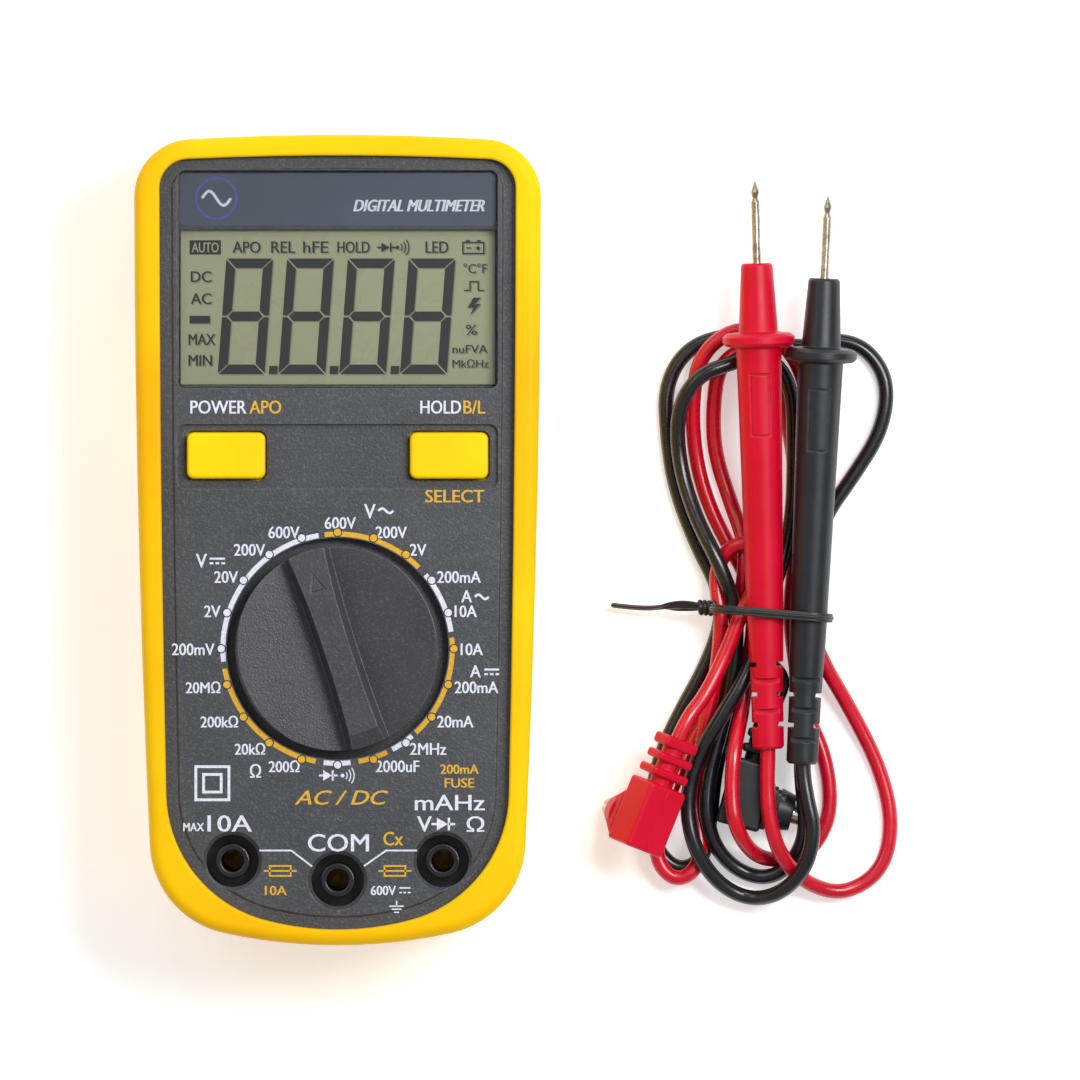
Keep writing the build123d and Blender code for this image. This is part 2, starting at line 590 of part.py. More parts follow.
def probe_handle(roll):
    """Tapered grip with a guard collar and a slotted strain relief, along +Z."""
    outline = [
        (0.8, 15.2), (2.6, 15.2), (2.9, 15.6), (3.6, 27.7), (5.9, 28.0), (6.6, 28.6), (6.6, 29.7),
        (6.0, 30.3), (4.15, 30.7), (4.0, 40.0), (3.35, 80.0), (3.15, 87.0), (2.95, 91.5), (2.9, 103.5),
        (2.5, PROBE_LENGTH), (1.45, PROBE_LENGTH), (1.45, 92.0), (0.8, 92.0),
    ]
    body = revolve(Plane.XZ * Polygon(*outline, align=None), Axis.Z)
    for side in (-1, 1):
        for step in range(3):
            body -= Rot(0, 0, roll) * Pos(side * 3.0, 0, 88.5 + 5.5 * step) * Box(2.4, 7, 0.9)
        for step in range(2):
            body -= Rot(0, 0, roll) * Pos(0, side * 3.0, 91.4 + 5.6 * step) * Box(7, 2.4, 0.9)
    window = Pos(0, 4.4, 41.0) * Box(3.8, 2.0, 11.6)
    panel = Pos(0, 4.0, 41.0) * Box(3.0, 1.1, 10.8)
    return body - window + (panel & body)


def probe_tip():
    """Plated needle with a pointed bulb at its end, along +Z."""
    outline = [(0, 0), (0.85, 2.2), (0.5, 3.3), (0.8, 4.0), (0.8, 30.0), (0, 30.0)]
    return revolve(Plane.XZ * Polygon(*outline, align=None), Axis.Z)


def plug_body(neck_width):
    """Right-angled plug: +Y towards its cord, +X out of its shroud, lying flat about Z = 0."""
    along, length, wide = PLUG_BODY
    body = fillet(Box(along, length, wide).edges(), 0.7)
    for step in range(4):
        size = wide - 0.3 - 0.35 * step
        rib = Pos(along / 2 + 0.4 + 0.8 * step, PIN_SIDE, 0) * Box(0.8, size + 1.0 - 0.4 * step, size)
        body += fillet(rib.edges().filter_by(Axis.X), 1.2)
    shroud = SHROUD_END - 6.3
    body += Pos(SHROUD_END - shroud / 2, PIN_SIDE, 0) * Rot(0, 90, 0) * Cone(4.0, 3.3, shroud)
    body -= Pos(8.6, PIN_SIDE, 0) * Rot(0, 90, 0) * Cylinder(3.2, 6.0)
    body += Pos(0, length / 2 + NECK / 2 - 0.2, 0) * Rot(90, 0, 0) * Cylinder(2.0, NECK)
    for y, thick, narrower in [(2.1, 1.6, 0.0), (5.0, 1.6, 0.5), (8.0, 2.0, 0.8)]:
        rib = Pos(0, length / 2 + y, 0) * Box(5.7 - narrower, thick, neck_width - narrower)
        body += fillet(rib.edges(), 0.55)
    return body - Pos(0, length / 2 + 6.7, 0) * Rot(90, 0, 0) * Cylinder(CORD_R + 0.05, 5.0)


def plug_pin():
    """The plug's metal pin, which stands out of its shroud and is split at the end."""
    root = 5.6
    pin = Pos((root + PIN_END) / 2, PIN_SIDE, 0) * Rot(0, 90, 0) * Cylinder(1.95, PIN_END - root)
    pin = chamfer(pin.faces().sort_by(Axis.X)[-1].edges(), 0.5)
    return pin - Pos(PIN_END - 1.5, PIN_SIDE, 0) * Box(5.0, 0.5, 5.0)


def plug_frame(colour):
    """Place of a plug: the red one leans with its shroud down on its left, the black one lies flat."""
    x, y, z, turn, roll = PLUGS[colour]
    return Pos(x, y, z) * Rot(0, 0, turn) * Rot(0, roll, 0)


def hank_outline(points):
    """A closed smooth outline through a few points."""
    return make_face(Spline(*points, periodic=True))


def tie_frame():
    """Middle of the tie's loop on the table, turned a little clockwise."""
    return Pos(*TIE_PLACE, 0) * Rot(0, 0, TIE_TURN)


def tie_loop(inset, half_wide):
    """The upright rounded block inside the tie's loop, set in from its outside."""
    wide, high = TIE_SIZE
    outline = RectangleRounded(wide - 2 * inset, high - 2 * inset, TIE_CORNER - inset)
    return extrude(Plane.XZ * Pos(0, TIE_SIZE[1] / 2 + 0.05) * outline, amount=half_wide, both=True)


def lead_hank(colour):
    """The outer shape of one folded cord: a flat waisted form with room for the plugs and the tie."""
    body = slab(hank_outline(HANK_PLANS[colour]), *HANK_HEIGHTS[colour])
    for plug in PLUGS:
        body -= plug_frame(plug) * Pos(4.5, 4.2, 0) * Box(18.0, 22.0, 9.0)
    notch = tie_frame() * (Pos(0, 0, 5.0) * Box(40.0, 2.3, 14.0) - tie_loop(TIE_WIRE + 0.3, 2.0))
    return body - notch


def twist_tie():
    """Plastic-covered wire: a flat loop round the bundle, a knot and a free tail on the left."""
    band = tie_loop(0, 0.85) - tie_loop(TIE_WIRE, 2.0)
    left = -TIE_SIZE[0] / 2
    knot = Pos(left - 0.6, 0, 7.0) * Rot(0, 90, 0) * Cylinder(1.6, 3.4)
    knot = fillet(knot.edges(), 0.4)
    points = [(left - 1.2, 0, 7.0), (left - 6.5, 0.3, 6.4), (left - 12.5, -0.3, 4.0), (left - 18.0, 0.6, 2.6)]
    path = FilletPolyline(*points, radius=[12.0, 14.0])
    tail = sweep(Plane(path @ 0, z_dir=path % 0) * Circle(0.85), path=path)
    return tie_frame() * (band + knot + tail)


NODES = {
    "holster": holster(),
    "rear_case": rear_case(),
    "front_case": front_case(),
    "display_lens": display_lens(),
    "title_strip": title_strip(),
    "lcd_glass": lcd_glass(),
    "lcd_frame": lcd_frame(),
    "lcd_contact_strips": lcd_contact_strips(),
    "backlight_panel": backlight_panel(),
    "main_pcb": main_pcb(),
    "selector_knob": selector_knob(),
    "selector_rotor": selector_rotor(),
    "detent_springs": detent_springs(),
    "detent_balls": detent_balls(),
    "selector_contacts": selector_contacts(),
    "fuse_tube": fuse_tube(),
    "fuse_caps": fuse_caps(),
    "fuse_clips": fuse_clips(),
    "current_shunt": current_shunt(),
    "chip_blob": chip_blob(),
    "capacitors": capacitors(),
    "trimmer": trimmer(),
    "ptc_thermistor": ptc_thermistor(),
    "buzzer": buzzer(),
    "chip_resistors": chip_resistors(),
    "battery": battery(),
    "battery_contacts": battery_contacts(),
    "battery_door": battery_door(),
    "battery_door_screw": Pos(0, DOOR_SCREW_Y, 0) * screw(2.6, (2.75, 3.6), 1.25, 11.0),
    "case_screws": [Pos(x, y, 0) * screw(2.7, (7.2, 9.0), 1.3, 26.0) for x, y in CASE_SCREWS],
    "pcb_screws": [Pos(x, y, 0) * screw(2.2, (21.9, 23.4), 0.9, 30.0) for x, y in PCB_SCREWS],
    "tilt_stand": tilt_stand(),
    "twist_tie": twist_tie(),
}
for name, side in (("power", -1), ("hold", 1)):
    NODES[name + "_button_cap"] = button_cap(side)
    NODES[name + "_plunger"] = switch_plunger(side)
    NODES[name + "_switch"] = switch_body(side)
for name, place in JACKS.items():
    NODES["jack_bushing_" + name] = jack_bushing(*place)
    NODES["jack_socket_" + name] = jack_socket(*place)
for name in ("red", "black"):
    NODES[name + "_probe_handle"] = probe_frame(name) * probe_handle(SLOT_ROLLS[name])
    NODES[name + "_probe_tip"] = probe_frame(name) * probe_tip()
    NODES[name + "_plug_body"] = plug_frame(name) * plug_body(NECK_WIDTHS[name])
    NODES[name + "_plug_pin"] = plug_frame(name) * plug_pin()
    NODES[name + "_lead_hank"] = lead_hank(name)

for name, shape in NODES.items():
    export_step(Compound(children=shape) if isinstance(shape, list) else shape, f"parts/{name}.step")
print(len(NODES), "nodes written")
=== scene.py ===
"""Looks of a handheld digital multimeter in a yellow holster, with its pair of test leads tied beside it.

Sizes are in millimetres and become metres where a piece is made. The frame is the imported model's own.
"""
import json
from math import cos, pi, radians, sin

import bpy
from mathutils import Matrix, Vector


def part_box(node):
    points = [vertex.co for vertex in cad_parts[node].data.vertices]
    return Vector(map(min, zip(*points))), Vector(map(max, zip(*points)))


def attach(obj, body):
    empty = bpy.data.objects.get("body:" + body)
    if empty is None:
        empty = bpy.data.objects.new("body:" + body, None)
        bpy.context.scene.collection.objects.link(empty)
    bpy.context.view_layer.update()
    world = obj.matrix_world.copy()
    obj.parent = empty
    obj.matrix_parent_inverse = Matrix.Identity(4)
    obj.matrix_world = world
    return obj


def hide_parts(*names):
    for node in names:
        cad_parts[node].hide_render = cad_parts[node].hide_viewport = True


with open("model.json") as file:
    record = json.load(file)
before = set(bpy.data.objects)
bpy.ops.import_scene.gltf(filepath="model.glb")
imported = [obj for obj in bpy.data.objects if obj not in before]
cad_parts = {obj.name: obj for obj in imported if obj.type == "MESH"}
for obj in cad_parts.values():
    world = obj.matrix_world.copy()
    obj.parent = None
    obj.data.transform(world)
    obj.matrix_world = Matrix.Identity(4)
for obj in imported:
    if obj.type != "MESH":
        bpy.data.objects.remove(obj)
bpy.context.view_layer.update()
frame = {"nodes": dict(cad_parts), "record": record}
MM = 0.001


def mm_box(node):
    """Lowest and highest corner of a CAD node, in millimetres."""
    low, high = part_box(node)
    return low / MM, high / MM


# ---------------------------------------------------------------------------------------------------
# Camera
# ---------------------------------------------------------------------------------------------------
CAMERA_PLACE = (0.0367, 0.0, 3.0)
SENSOR_WIDTH = 36.0
FOCAL_LENGTH = 545.2


def make_camera():
    """Straight above the meter and its leads, from far enough for a nearly flat view."""
    data = bpy.data.cameras.new("camera")
    data.sensor_width = SENSOR_WIDTH
    data.lens = FOCAL_LENGTH
    camera = bpy.data.objects.new("camera", data)
    camera.location = CAMERA_PLACE
    bpy.context.scene.collection.objects.link(camera)
    bpy.context.scene.camera = camera


make_camera()

# ---------------------------------------------------------------------------------------------------
# Cords: from the tail of each probe, through the tied bundle, to its plug
# ---------------------------------------------------------------------------------------------------
CORD_R = 1.4
HAIR = 0.01                # radius given to a curve that only measures or guides
BLACK_ROUTE = [
    (84.85, -35, 10.3), (84.6, -41.3, 10), (85.5, -47.5, 10.4), (86.9, -53, 10.4), (85.4, -60, 10),
    (80.8, -64.8, 7.2), (75, -66, 3.2), (69, -62.8, 5), (64.8, -56.4, 7.4), (63.4, -48.5, 7),
    (65, -40.6, 7), (69.6, -32.6, 7.4), (73.6, -26.4, 7.5), (76.2, -20.5, 6.1), (77.8, -13.4, 5.6),
    (80.8, -5, 5.2), (83, 4, 4.6), (83.3, 17, 4.4), (82.9, 28.5, 4.4), (78.2, 34.2, 5.6), (71.8, 32.4, 6.8),
    (65.6, 30.2, 7.4), (61.8, 24, 5.6), (62, 14.5, 4.3), (65, 4.4, 5.8), (69.2, -3.6, 8),
    (72.7, -12.6, 5.9), (72.6, -20.8, 4.6), (71.3, -29, 4.2), (69.4, -36.5, 4.2), (67.4, -44, 4.5),
    (67, -51, 4.8), (69.4, -57.6, 3.6), (74.6, -61.6, 1.8), (80, -61.8, 3.6), (84, -57.6, 5.2),
    (85.4, -52.6, 7.6), (84.9, -47.4, 8.5), (84.4, -41.5, 5.4), (84.9, -32.5, 4.4), (86.9, -23.5, 2.9),
    (86.4, -13.4, 2.8), (86.4, -5, 2.2), (88.6, 4, 1.4), (94, 11.5, 1.4), (99.4, 20, 1.4),
    (100.6, 28.8, 1.4), (97, 34.9, 1.4), (91.5, 36.9, 1.4), (86.8, 35.4, 1.4), (82, 35.6, 1.4),
    (77.4, 37.4, 1.4), (70.5, 37.6, 1.4), (63.6, 35.2, 1.4), (59.6, 28.4, 1.4), (60, 19, 1.4),
    (61.4, 9.5, 1.4), (65.4, -1, 1.5), (69.4, -8.6, 2.5), (70.1, -15, 2.7), (67, -23.4, 1.8),
    (62.6, -31.2, 1.4), (58.8, -39.2, 1.4), (57, -47.6, 1.4), (57.4, -56, 1.4), (61.8, -60.8, 1.4),
    (66.8, -58.6, 1.4), (67.9, -51.6, 1.4), (68.6, -44, 1.4), (70, -37, 1.4), (71.8, -29.6, 1.4),
    (73.8, -23.4, 1.4), (77.8, -21.8, 1.5), (81.6, -25.2, 2.6), (79.9, -29.8, 3.9), (78.3, -32.6, 4.2),
    (77.2, -36.4, 4.2),
]
RED_ROUTE = [
    (78.28, -32, 10.3), (78.45, -38.3, 10), (78.2, -44.5, 9.9), (78.6, -51.5, 9.9), (80.9, -58.4, 8.6),
    (85.8, -63.2, 4.2), (92.6, -65, 1.8), (99.6, -60.6, 1.4), (101.4, -51.6, 1.4), (99, -41.6, 1.4),
    (93.6, -31, 2.6), (88.2, -22, 6), (85, -13.4, 5.6), (86.4, -4, 5.2), (87.6, 8, 3.4), (87.4, 20, 1.6),
    (85, 29.6, 1.8), (82.6, 34.6, 4.4), (78.6, 37.8, 4.7), (72.2, 38.9, 4.6), (66, 34, 4.2), (64.6, 26, 3),
    (64.9, 17, 1.5), (66.8, 8.4, 1.4), (70.4, 0.4, 1.4), (74.6, -6.4, 1.6), (76, -13.4, 2.8),
    (75.5, -19, 3.4), (74.5, -24.4, 4.4), (73.8, -31, 5), (72.2, -38, 9.6), (71.6, -46, 9.8),
    (72.4, -52.8, 10.4), (75.8, -57.8, 5.2), (80.6, -58.9, 1.5), (85.8, -57.6, 1.4), (89.4, -52.2, 1.4),
    (90, -46, 1.4), (88.6, -38.5, 1.4), (85.2, -31.5, 1.4), (83.6, -23.5, 1.5), (82.4, -13.4, 2.75),
    (83.4, -4, 2.2), (84, 8, 1.5), (82.6, 20, 1.4), (79.8, 29.8, 1.5), (75, 35.6, 2.6), (69.6, 32.4, 3.8),
    (68.4, 25, 2.2), (68.6, 16, 1.5), (71.8, 6.4, 1.6), (74.2, -0.2, 4.8), (74.2, -6.4, 5.2),
    (72.9, -13.6, 2.8), (71.8, -21.6, 1.7), (68.4, -30, 1.5), (63.9, -38.2, 1.5), (60.4, -46.5, 3.6),
    (58, -53.6, 4.4), (58.2, -59.4, 4.4), (61.8, -62.6, 4.4), (65.8, -60, 4.2), (66.2, -53.8, 2.8),
    (64.6, -46.6, 1.8),
    (65.8, -40, 4.2), (67.3, -32, 4.4), (69.2, -23.5, 4.6), (70, -14.5, 5.6), (68.9, -8.5, 5),
    (69.3, -4.4, 4.8), (71.4, -1.4, 6.2), (74.2, -0.4, 7.3), (77, -2, 6.7), (77.6, -5.6, 6.8),
    (75.8, -9.2, 7.2), (73.4, -13.6, 8.7), (70.2, -22, 8.8), (66.8, -28.6, 10.2), (63.9, -32.2, 12),
    (61.7, -36.8, 12.3), (60.1, -40.7, 12.3),
]


def link(obj):
    """Put an object in the scene."""
    bpy.context.scene.collection.objects.link(obj)
    return obj


def evaluated_mesh(obj):
    """The mesh that a curve or a lettering comes to; the object itself is removed."""
    mesh = bpy.data.meshes.new_from_object(obj.evaluated_get(bpy.context.evaluated_depsgraph_get()))
    bpy.data.objects.remove(obj)
    return mesh


def route_curve(name, route, radius=0.0):
    """A smooth NURBS curve with the route as its control points."""
    curve = bpy.data.curves.new(name, "CURVE")
    curve.dimensions = "3D"
    spline = curve.splines.new("NURBS")
    spline.points.add(len(route) - 1)
    for point, place in zip(spline.points, route):
        point.co = (*(Vector(place) * MM), 1.0)
        point.radius = max(radius, HAIR) * MM    # the thickness, so that the curve's own box is true
    spline.order_u = 3
    spline.use_endpoint_u = True
    spline.resolution_u = 8
    curve.bevel_depth = 1.0 if radius else 0.0
    curve.bevel_resolution = 6
    return link(bpy.data.objects.new(name, curve))


def curve_length(route):
    """Real length of the smooth line through a route, in metres."""
    points = [v.co for v in evaluated_mesh(route_curve("length_probe", route)).vertices]
    return sum((b - a).length for a, b in zip(points, points[1:]))


def make_cord(colour, route):
    """The cord of one test lead, on the test leads' body, in place of the CAD's hank."""
    cord = route_curve(colour + "_lead_cord", route, CORD_R)
    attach(cord, "test_leads")
    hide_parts(colour + "_lead_hank")
    curve_length(route)
    return cord


cords = {"black": make_cord("black", BLACK_ROUTE), "red": make_cord("red", RED_ROUTE)}


# ---------------------------------------------------------------------------------------------------
# Materials
# ---------------------------------------------------------------------------------------------------
def srgb(red, green, blue):
    """Linear colour of an 8-bit screen colour."""
    def one(value):
        value /= 255.0
        return value / 12.92 if value <= 0.04045 else ((value + 0.055) / 1.055) ** 2.4
    return (one(red), one(green), one(blue), 1.0)


class Look:
    """A material in the making: short calls add nodes and join them."""

    def __init__(self, name, **fixed):
        self.material = bpy.data.materials.new(name)
        self.material.use_nodes = True
        self.tree = self.material.node_tree
        self.shader = self.tree.nodes["Principled BSDF"]
        for socket, value in fixed.items():
            self.shader.inputs[socket.replace("_", " ")].default_value = value
        self.place = self.add("TexCoord").outputs["Object"]

    def add(self, kind, wires=(), **settings):
        """A new node; each wire sets a socket to a value or joins it to an output."""
        node = self.tree.nodes.new("ShaderNode" + kind)
        for name, value in settings.items():
            setattr(node, name, value)
        for socket, value in dict(wires).items():
            if isinstance(value, bpy.types.NodeSocket):
                self.tree.links.new(value, node.inputs[socket])
            else:
                node.inputs[socket].default_value = value
        return node

    def noise(self, size, detail=2.0, stretch=(1, 1, 1), sharp=0.5):
        """Noise with features of about that size in millimetres, stretched along the axes if asked."""
        place = self.add("Mapping", {"Vector": self.place, "Scale": stretch}).outputs[0]
        wires = {"Vector": place, "Scale": 1000.0 / size, "Detail": detail, "Roughness": sharp}
        return self.add("TexNoise", wires).outputs[0]

    def span(self, value, low, high, to_low=0.0, to_high=1.0):
        """A value stretched from one span to another and held inside it."""
        wires = {"Value": value, "From Min": low, "From Max": high, "To Min": to_low, "To Max": to_high}
        return self.add("MapRange", wires).outputs[0]

    def vary(self, noise, low, high):
        """A value from low to high that follows the usual swing of a noise."""
        return self.span(noise, 0.3, 0.7, low, high)

    def math(self, operation, one, two=0.0):
        """The result of one sum."""
        return self.add("Math", {0: one, 1: two}, operation=operation).outputs[0]

    def mix(self, factor, one, two):
        """One colour at factor 0, the other at factor 1."""
        return self.add("Mix", {0: factor, 6: one, 7: two}, data_type="RGBA").outputs[2]

    def round_normal(self, radius):
        """Surface direction with the edges softened over a radius in millimetres."""
        return self.add("Bevel", {"Radius": radius * MM}, samples=4).outputs[0]

    def edges(self, radius):
        """1 on sharp outer edges, broken up by noise, and 0 on open faces."""
        true = self.add("NewGeometry").outputs["Normal"]
        turn = self.add("VectorMath", {0: self.round_normal(radius), 1: true}, operation="DOT_PRODUCT")
        edge = self.span(turn.outputs["Value"], 0.995, 0.86)
        return self.math("MULTIPLY", edge, self.span(self.noise(1.6, 3.0), 0.35, 0.65, 0.25, 1.0))

    def bump(self, height, depth, normal=None):
        """A surface direction from a height, whose full swing is a depth in millimetres."""
        wires = {"Height": height, "Distance": depth * MM, "Strength": 1.0}
        if normal is not None:
            wires["Normal"] = normal
        return self.add("Bump", wires).outputs[0]

    def wear(self, **sockets):
        """Join outputs to the main shader's sockets."""
        for socket, value in sockets.items():
            self.tree.links.new(value, self.shader.inputs[socket.replace("_", " ")])
        return self.material


SPECK_GREY = srgb(176, 178, 186)
CLEAR_TINT = (0.95, 0.965, 0.96, 1.0)
ACRYLIC_IOR = 1.49


def moulded(name, colour, deep, rough, grain, depth, edge=None, soften=0.25, patch=13.0, speck=0.0, **fixed):
    """Moulded plastic or rubber: slow shifts of tone, a fine surface grain and tinted edges: worn lighter on
    most, and on the buttons a darker painted shade.
    """
    look = Look(name, **fixed)
    tone = look.mix(look.span(look.noise(patch, 4.0), 0.32, 0.68), deep, colour)
    smudge = look.noise(patch * 0.45, 5.0, sharp=0.6)
    spark = look.noise(grain, 1.5)
    if speck:
        specks = look.span(look.noise(grain * 1.4, 2.0), 0.52, 0.72, 0.0, speck)
        tone = look.mix(specks, tone, SPECK_GREY)
    shine = look.vary(smudge, rough - 0.05, rough + 0.07)
    # edge colour over the edges: wear where it is lighter; the buttons' darker edge colour is painted shade
    if edge:
        edge_wear_and_shade = look.edges(0.45)
        tone = look.mix(look.math("MULTIPLY", edge_wear_and_shade, 0.55), tone, edge)
        shine = look.math("SUBTRACT", shine, look.math("MULTIPLY", edge_wear_and_shade, 0.10))
    soft = look.round_normal(soften) if soften else None
    fine = look.bump(spark, depth, soft)
    scuff = look.noise(2.2, 3.0, stretch=(0.18, 1.0, 1.0), sharp=0.7)
    normal = look.bump(scuff, depth * 0.7, fine)
    return look.wear(Base_Color=tone, Roughness=shine, Normal=normal)


def metal(name, colour, dull, rough, rings=(1, 1, 1)):
    """Bare or plated metal with turning marks or fine brushing and a few dull spots."""
    look = Look(name, Metallic=1.0)
    tone = look.mix(look.span(look.noise(3.0, 4.0, sharp=0.65), 0.4, 0.72), colour, dull)
    shine = look.vary(look.noise(1.1, 4.0), rough - 0.06, rough + 0.12)
    lines = look.bump(look.noise(0.35, 1.0, stretch=rings), 0.004)
    return look.wear(Base_Color=tone, Roughness=shine, Normal=lines)


def printed(name, colour, deep):
    """Screen-printed ink: nearly flat, a little uneven in cover and gloss."""
    look = Look(name)
    tone = look.mix(look.span(look.noise(0.5, 3.0), 0.38, 0.6), deep, colour)
    shine = look.vary(look.noise(1.5, 2.0), 0.42, 0.58)
    return look.wear(Base_Color=tone, Roughness=shine, Normal=look.bump(look.noise(0.18, 1.0), 0.006))


def insulation(name, colour, deep, rough):
    """Soft extruded insulation of a test lead: glossy, with faint drawn lines and handling marks."""
    look = Look(name, Coat_Weight=0.22, Coat_Roughness=0.2)
    tone = look.mix(look.span(look.noise(9.0, 3.0), 0.35, 0.65), deep, colour)
    shine = look.vary(look.noise(2.4, 4.0, sharp=0.65), rough - 0.06, rough + 0.10)
    ripple = look.bump(look.noise(6.0, 1.0), 0.012)
    grain = look.bump(look.noise(0.22, 2.0), 0.006, ripple)
    return look.wear(Base_Color=tone, Roughness=shine, Normal=grain)


def clear_plate(name):
    """Polished clear acrylic: it shows what is behind it and mirrors the lights, with faint smears."""
    look = Look(name)
    nodes, links = look.tree.nodes, look.tree.links
    nodes.remove(look.shader)
    haze = look.span(look.noise(18.0, 4.0, sharp=0.6), 0.35, 0.75, 0.03, 0.11)
    scratch = look.noise(1.2, 2.0, stretch=(1.0, 0.06, 1.0))
    normal = look.bump(scratch, 0.0015)
    clear = look.add("BsdfTransparent", {"Color": CLEAR_TINT})
    gloss = look.add("BsdfGlossy", {"Color": (1, 1, 1, 1), "Roughness": haze, "Normal": normal})
    share = look.add("Fresnel", {"IOR": ACRYLIC_IOR}).outputs[0]
    mixed = look.add("MixShader", {0: share, 1: clear.outputs[0], 2: gloss.outputs[0]})
    links.new(mixed.outputs[0], nodes["Material Output"].inputs["Surface"])
    return look.material


def display_cell(name):
    """Reflective grey-green display cell with the fine sparkle of its rear film."""
    look = Look(name)
    film = look.mix(look.span(look.noise(0.16, 2.0), 0.3, 0.7), srgb(172, 171, 136), srgb(185, 183, 149))
    cloud = look.span(look.noise(24.0, 2.0), 0.3, 0.7)
    tone = look.mix(look.math("MULTIPLY", cloud, 0.35), film, srgb(164, 164, 134))
    shine = look.vary(look.noise(6.0, 3.0), 0.24, 0.34)
    return look.wear(Base_Color=tone, Roughness=shine, Normal=look.bump(look.noise(0.3, 1.0), 0.004))


def circuit_board(name):
    """Solder mask over faint copper tracks."""
    look = Look(name, Coat_Weight=0.3, Coat_Roughness=0.15)
    bricks = look.add("TexBrick", {"Vector": look.place, "Scale": 260.0, "Mortar Size": 0.045})
    track = look.math("MULTIPLY", bricks.outputs[1], look.span(look.noise(9.0, 1.0), 0.45, 0.55))
    tone = look.mix(track, srgb(14, 84, 44), srgb(46, 128, 66))
    shine = look.vary(look.noise(4.0, 3.0), 0.28, 0.42)
    return look.wear(Base_Color=tone, Roughness=shine, Normal=look.bump(track, 0.03))


def striped_rubber(name):
    """Conductive strip: thin dark and pale layers along its length."""
    look = Look(name)
    wires = {"Vector": look.place, "Scale": 900.0, "Distortion": 0.4}
    stripes = look.add("TexWave", wires, bands_direction="X")
    tone = look.mix(stripes.outputs[1], srgb(52, 52, 54), srgb(172, 168, 160))
    shine = look.vary(look.noise(2.0, 2.0), 0.55, 0.7)
    return look.wear(Base_Color=tone, Roughness=shine, Normal=look.bump(look.noise(0.3, 1.0), 0.01))


def glass_tube(name):
    """Clear glass of the fuse, a little smeared."""
    look = Look(name, Alpha=0.3, IOR=1.5)
    shine = look.vary(look.noise(3.0, 3.0), 0.04, 0.14)
    tone = look.mix(look.noise(4.0, 2.0), (0.92, 0.95, 0.94, 1), (0.8, 0.86, 0.85, 1))
    return look.wear(Base_Color=tone, Roughness=shine)


GREY_EDGE = srgb(118, 120, 126)
LOOKS = {
    "holster_rubber": moulded("holster_rubber", srgb(255, 206, 0), srgb(252, 180, 0), 0.50, 0.35, 0.012,
                              edge=srgb(255, 216, 40), soften=0.5, patch=42.0, Subsurface_Weight=0.05,
                              Specular_IOR_Level=0.12),
    "case_plastic": moulded("case_plastic", srgb(66, 67, 71), srgb(58, 59, 63), 0.46, 0.42, 0.075,
                            edge=GREY_EDGE, speck=0.10),
    "knob_plastic": moulded("knob_plastic", srgb(62, 62, 65), srgb(54, 54, 57), 0.38, 0.34, 0.05,
                            edge=srgb(130, 130, 134), soften=0.3, speck=0.08),
    # the buttons' darker orange edge colour is painted shade on their edges
    "button_yellow": moulded("button_yellow", srgb(255, 218, 0), srgb(253, 204, 0), 0.36, 0.4, 0.006,
                             edge=srgb(240, 160, 8), soften=0.8, Specular_IOR_Level=0.2),
    "inner_plastic": moulded("inner_plastic", srgb(38, 38, 41), srgb(30, 30, 33), 0.5, 0.3, 0.02),
    "white_plastic": moulded("white_plastic", srgb(226, 226, 220), srgb(214, 213, 204), 0.42, 0.3, 0.01),
    "title_film": moulded("title_film", srgb(80, 85, 104), srgb(72, 78, 96), 0.38, 0.3, 0.004, soften=0),
    "resin_black": moulded("resin_black", srgb(26, 26, 28), srgb(18, 18, 20), 0.3, 0.8, 0.03),
    "sleeve_blue": moulded("sleeve_blue", srgb(36, 68, 140), srgb(26, 52, 116), 0.32, 0.4, 0.01),
    "disc_ochre": moulded("disc_ochre", srgb(206, 140, 54), srgb(184, 118, 40), 0.45, 0.4, 0.02),
    "battery_jacket": moulded("battery_jacket", srgb(54, 55, 60), srgb(44, 45, 50), 0.34, 0.5, 0.008,
                              edge=srgb(150, 150, 152)),
    "bushing_black": moulded("bushing_black", srgb(30, 30, 33), srgb(22, 22, 25), 0.26, 0.4, 0.006,
                             edge=srgb(96, 98, 104)),
    "red_plastic": moulded("red_plastic", srgb(214, 0, 46), srgb(202, 0, 38), 0.38, 0.26, 0.014,
                           edge=srgb(240, 70, 92), soften=0.3, Subsurface_Weight=0.04,
                           Specular_IOR_Level=0.26),
    "black_plastic": moulded("black_plastic", srgb(27, 29, 35), srgb(20, 22, 27), 0.38, 0.26, 0.016,
                             edge=srgb(92, 95, 102), soften=0.3),
    "tie_black": moulded("tie_black", srgb(36, 33, 33), srgb(26, 24, 25), 0.36, 0.5, 0.03,
                         edge=srgb(84, 80, 80), soften=0.15),
    "red_cord": insulation("red_cord", srgb(212, 0, 40), srgb(194, 0, 30), 0.26),
    "black_cord": insulation("black_cord", srgb(26, 27, 32), srgb(18, 19, 23), 0.24),
    "lens_clear": clear_plate("lens_clear"),
    "lcd_cell": display_cell("lcd_cell"),
    "board_green": circuit_board("board_green"),
    "contact_rubber": striped_rubber("contact_rubber"),
    "fuse_glass": glass_tube("fuse_glass"),
    "steel": metal("steel", srgb(186, 187, 190), srgb(140, 140, 142), 0.32),
    "plated": metal("plated", srgb(206, 198, 184), srgb(150, 138, 118), 0.24, rings=(0.12, 1.0, 0.12)),
    "brass": metal("brass", srgb(132, 108, 62), srgb(84, 66, 36), 0.34),
}
WHITE_INK = printed("white_ink", srgb(228, 232, 242), srgb(206, 211, 224))
YELLOW_INK = printed("yellow_ink", srgb(228, 176, 30), srgb(212, 158, 20))
BLUE_INK = printed("blue_ink", srgb(74, 92, 176), srgb(62, 78, 156))
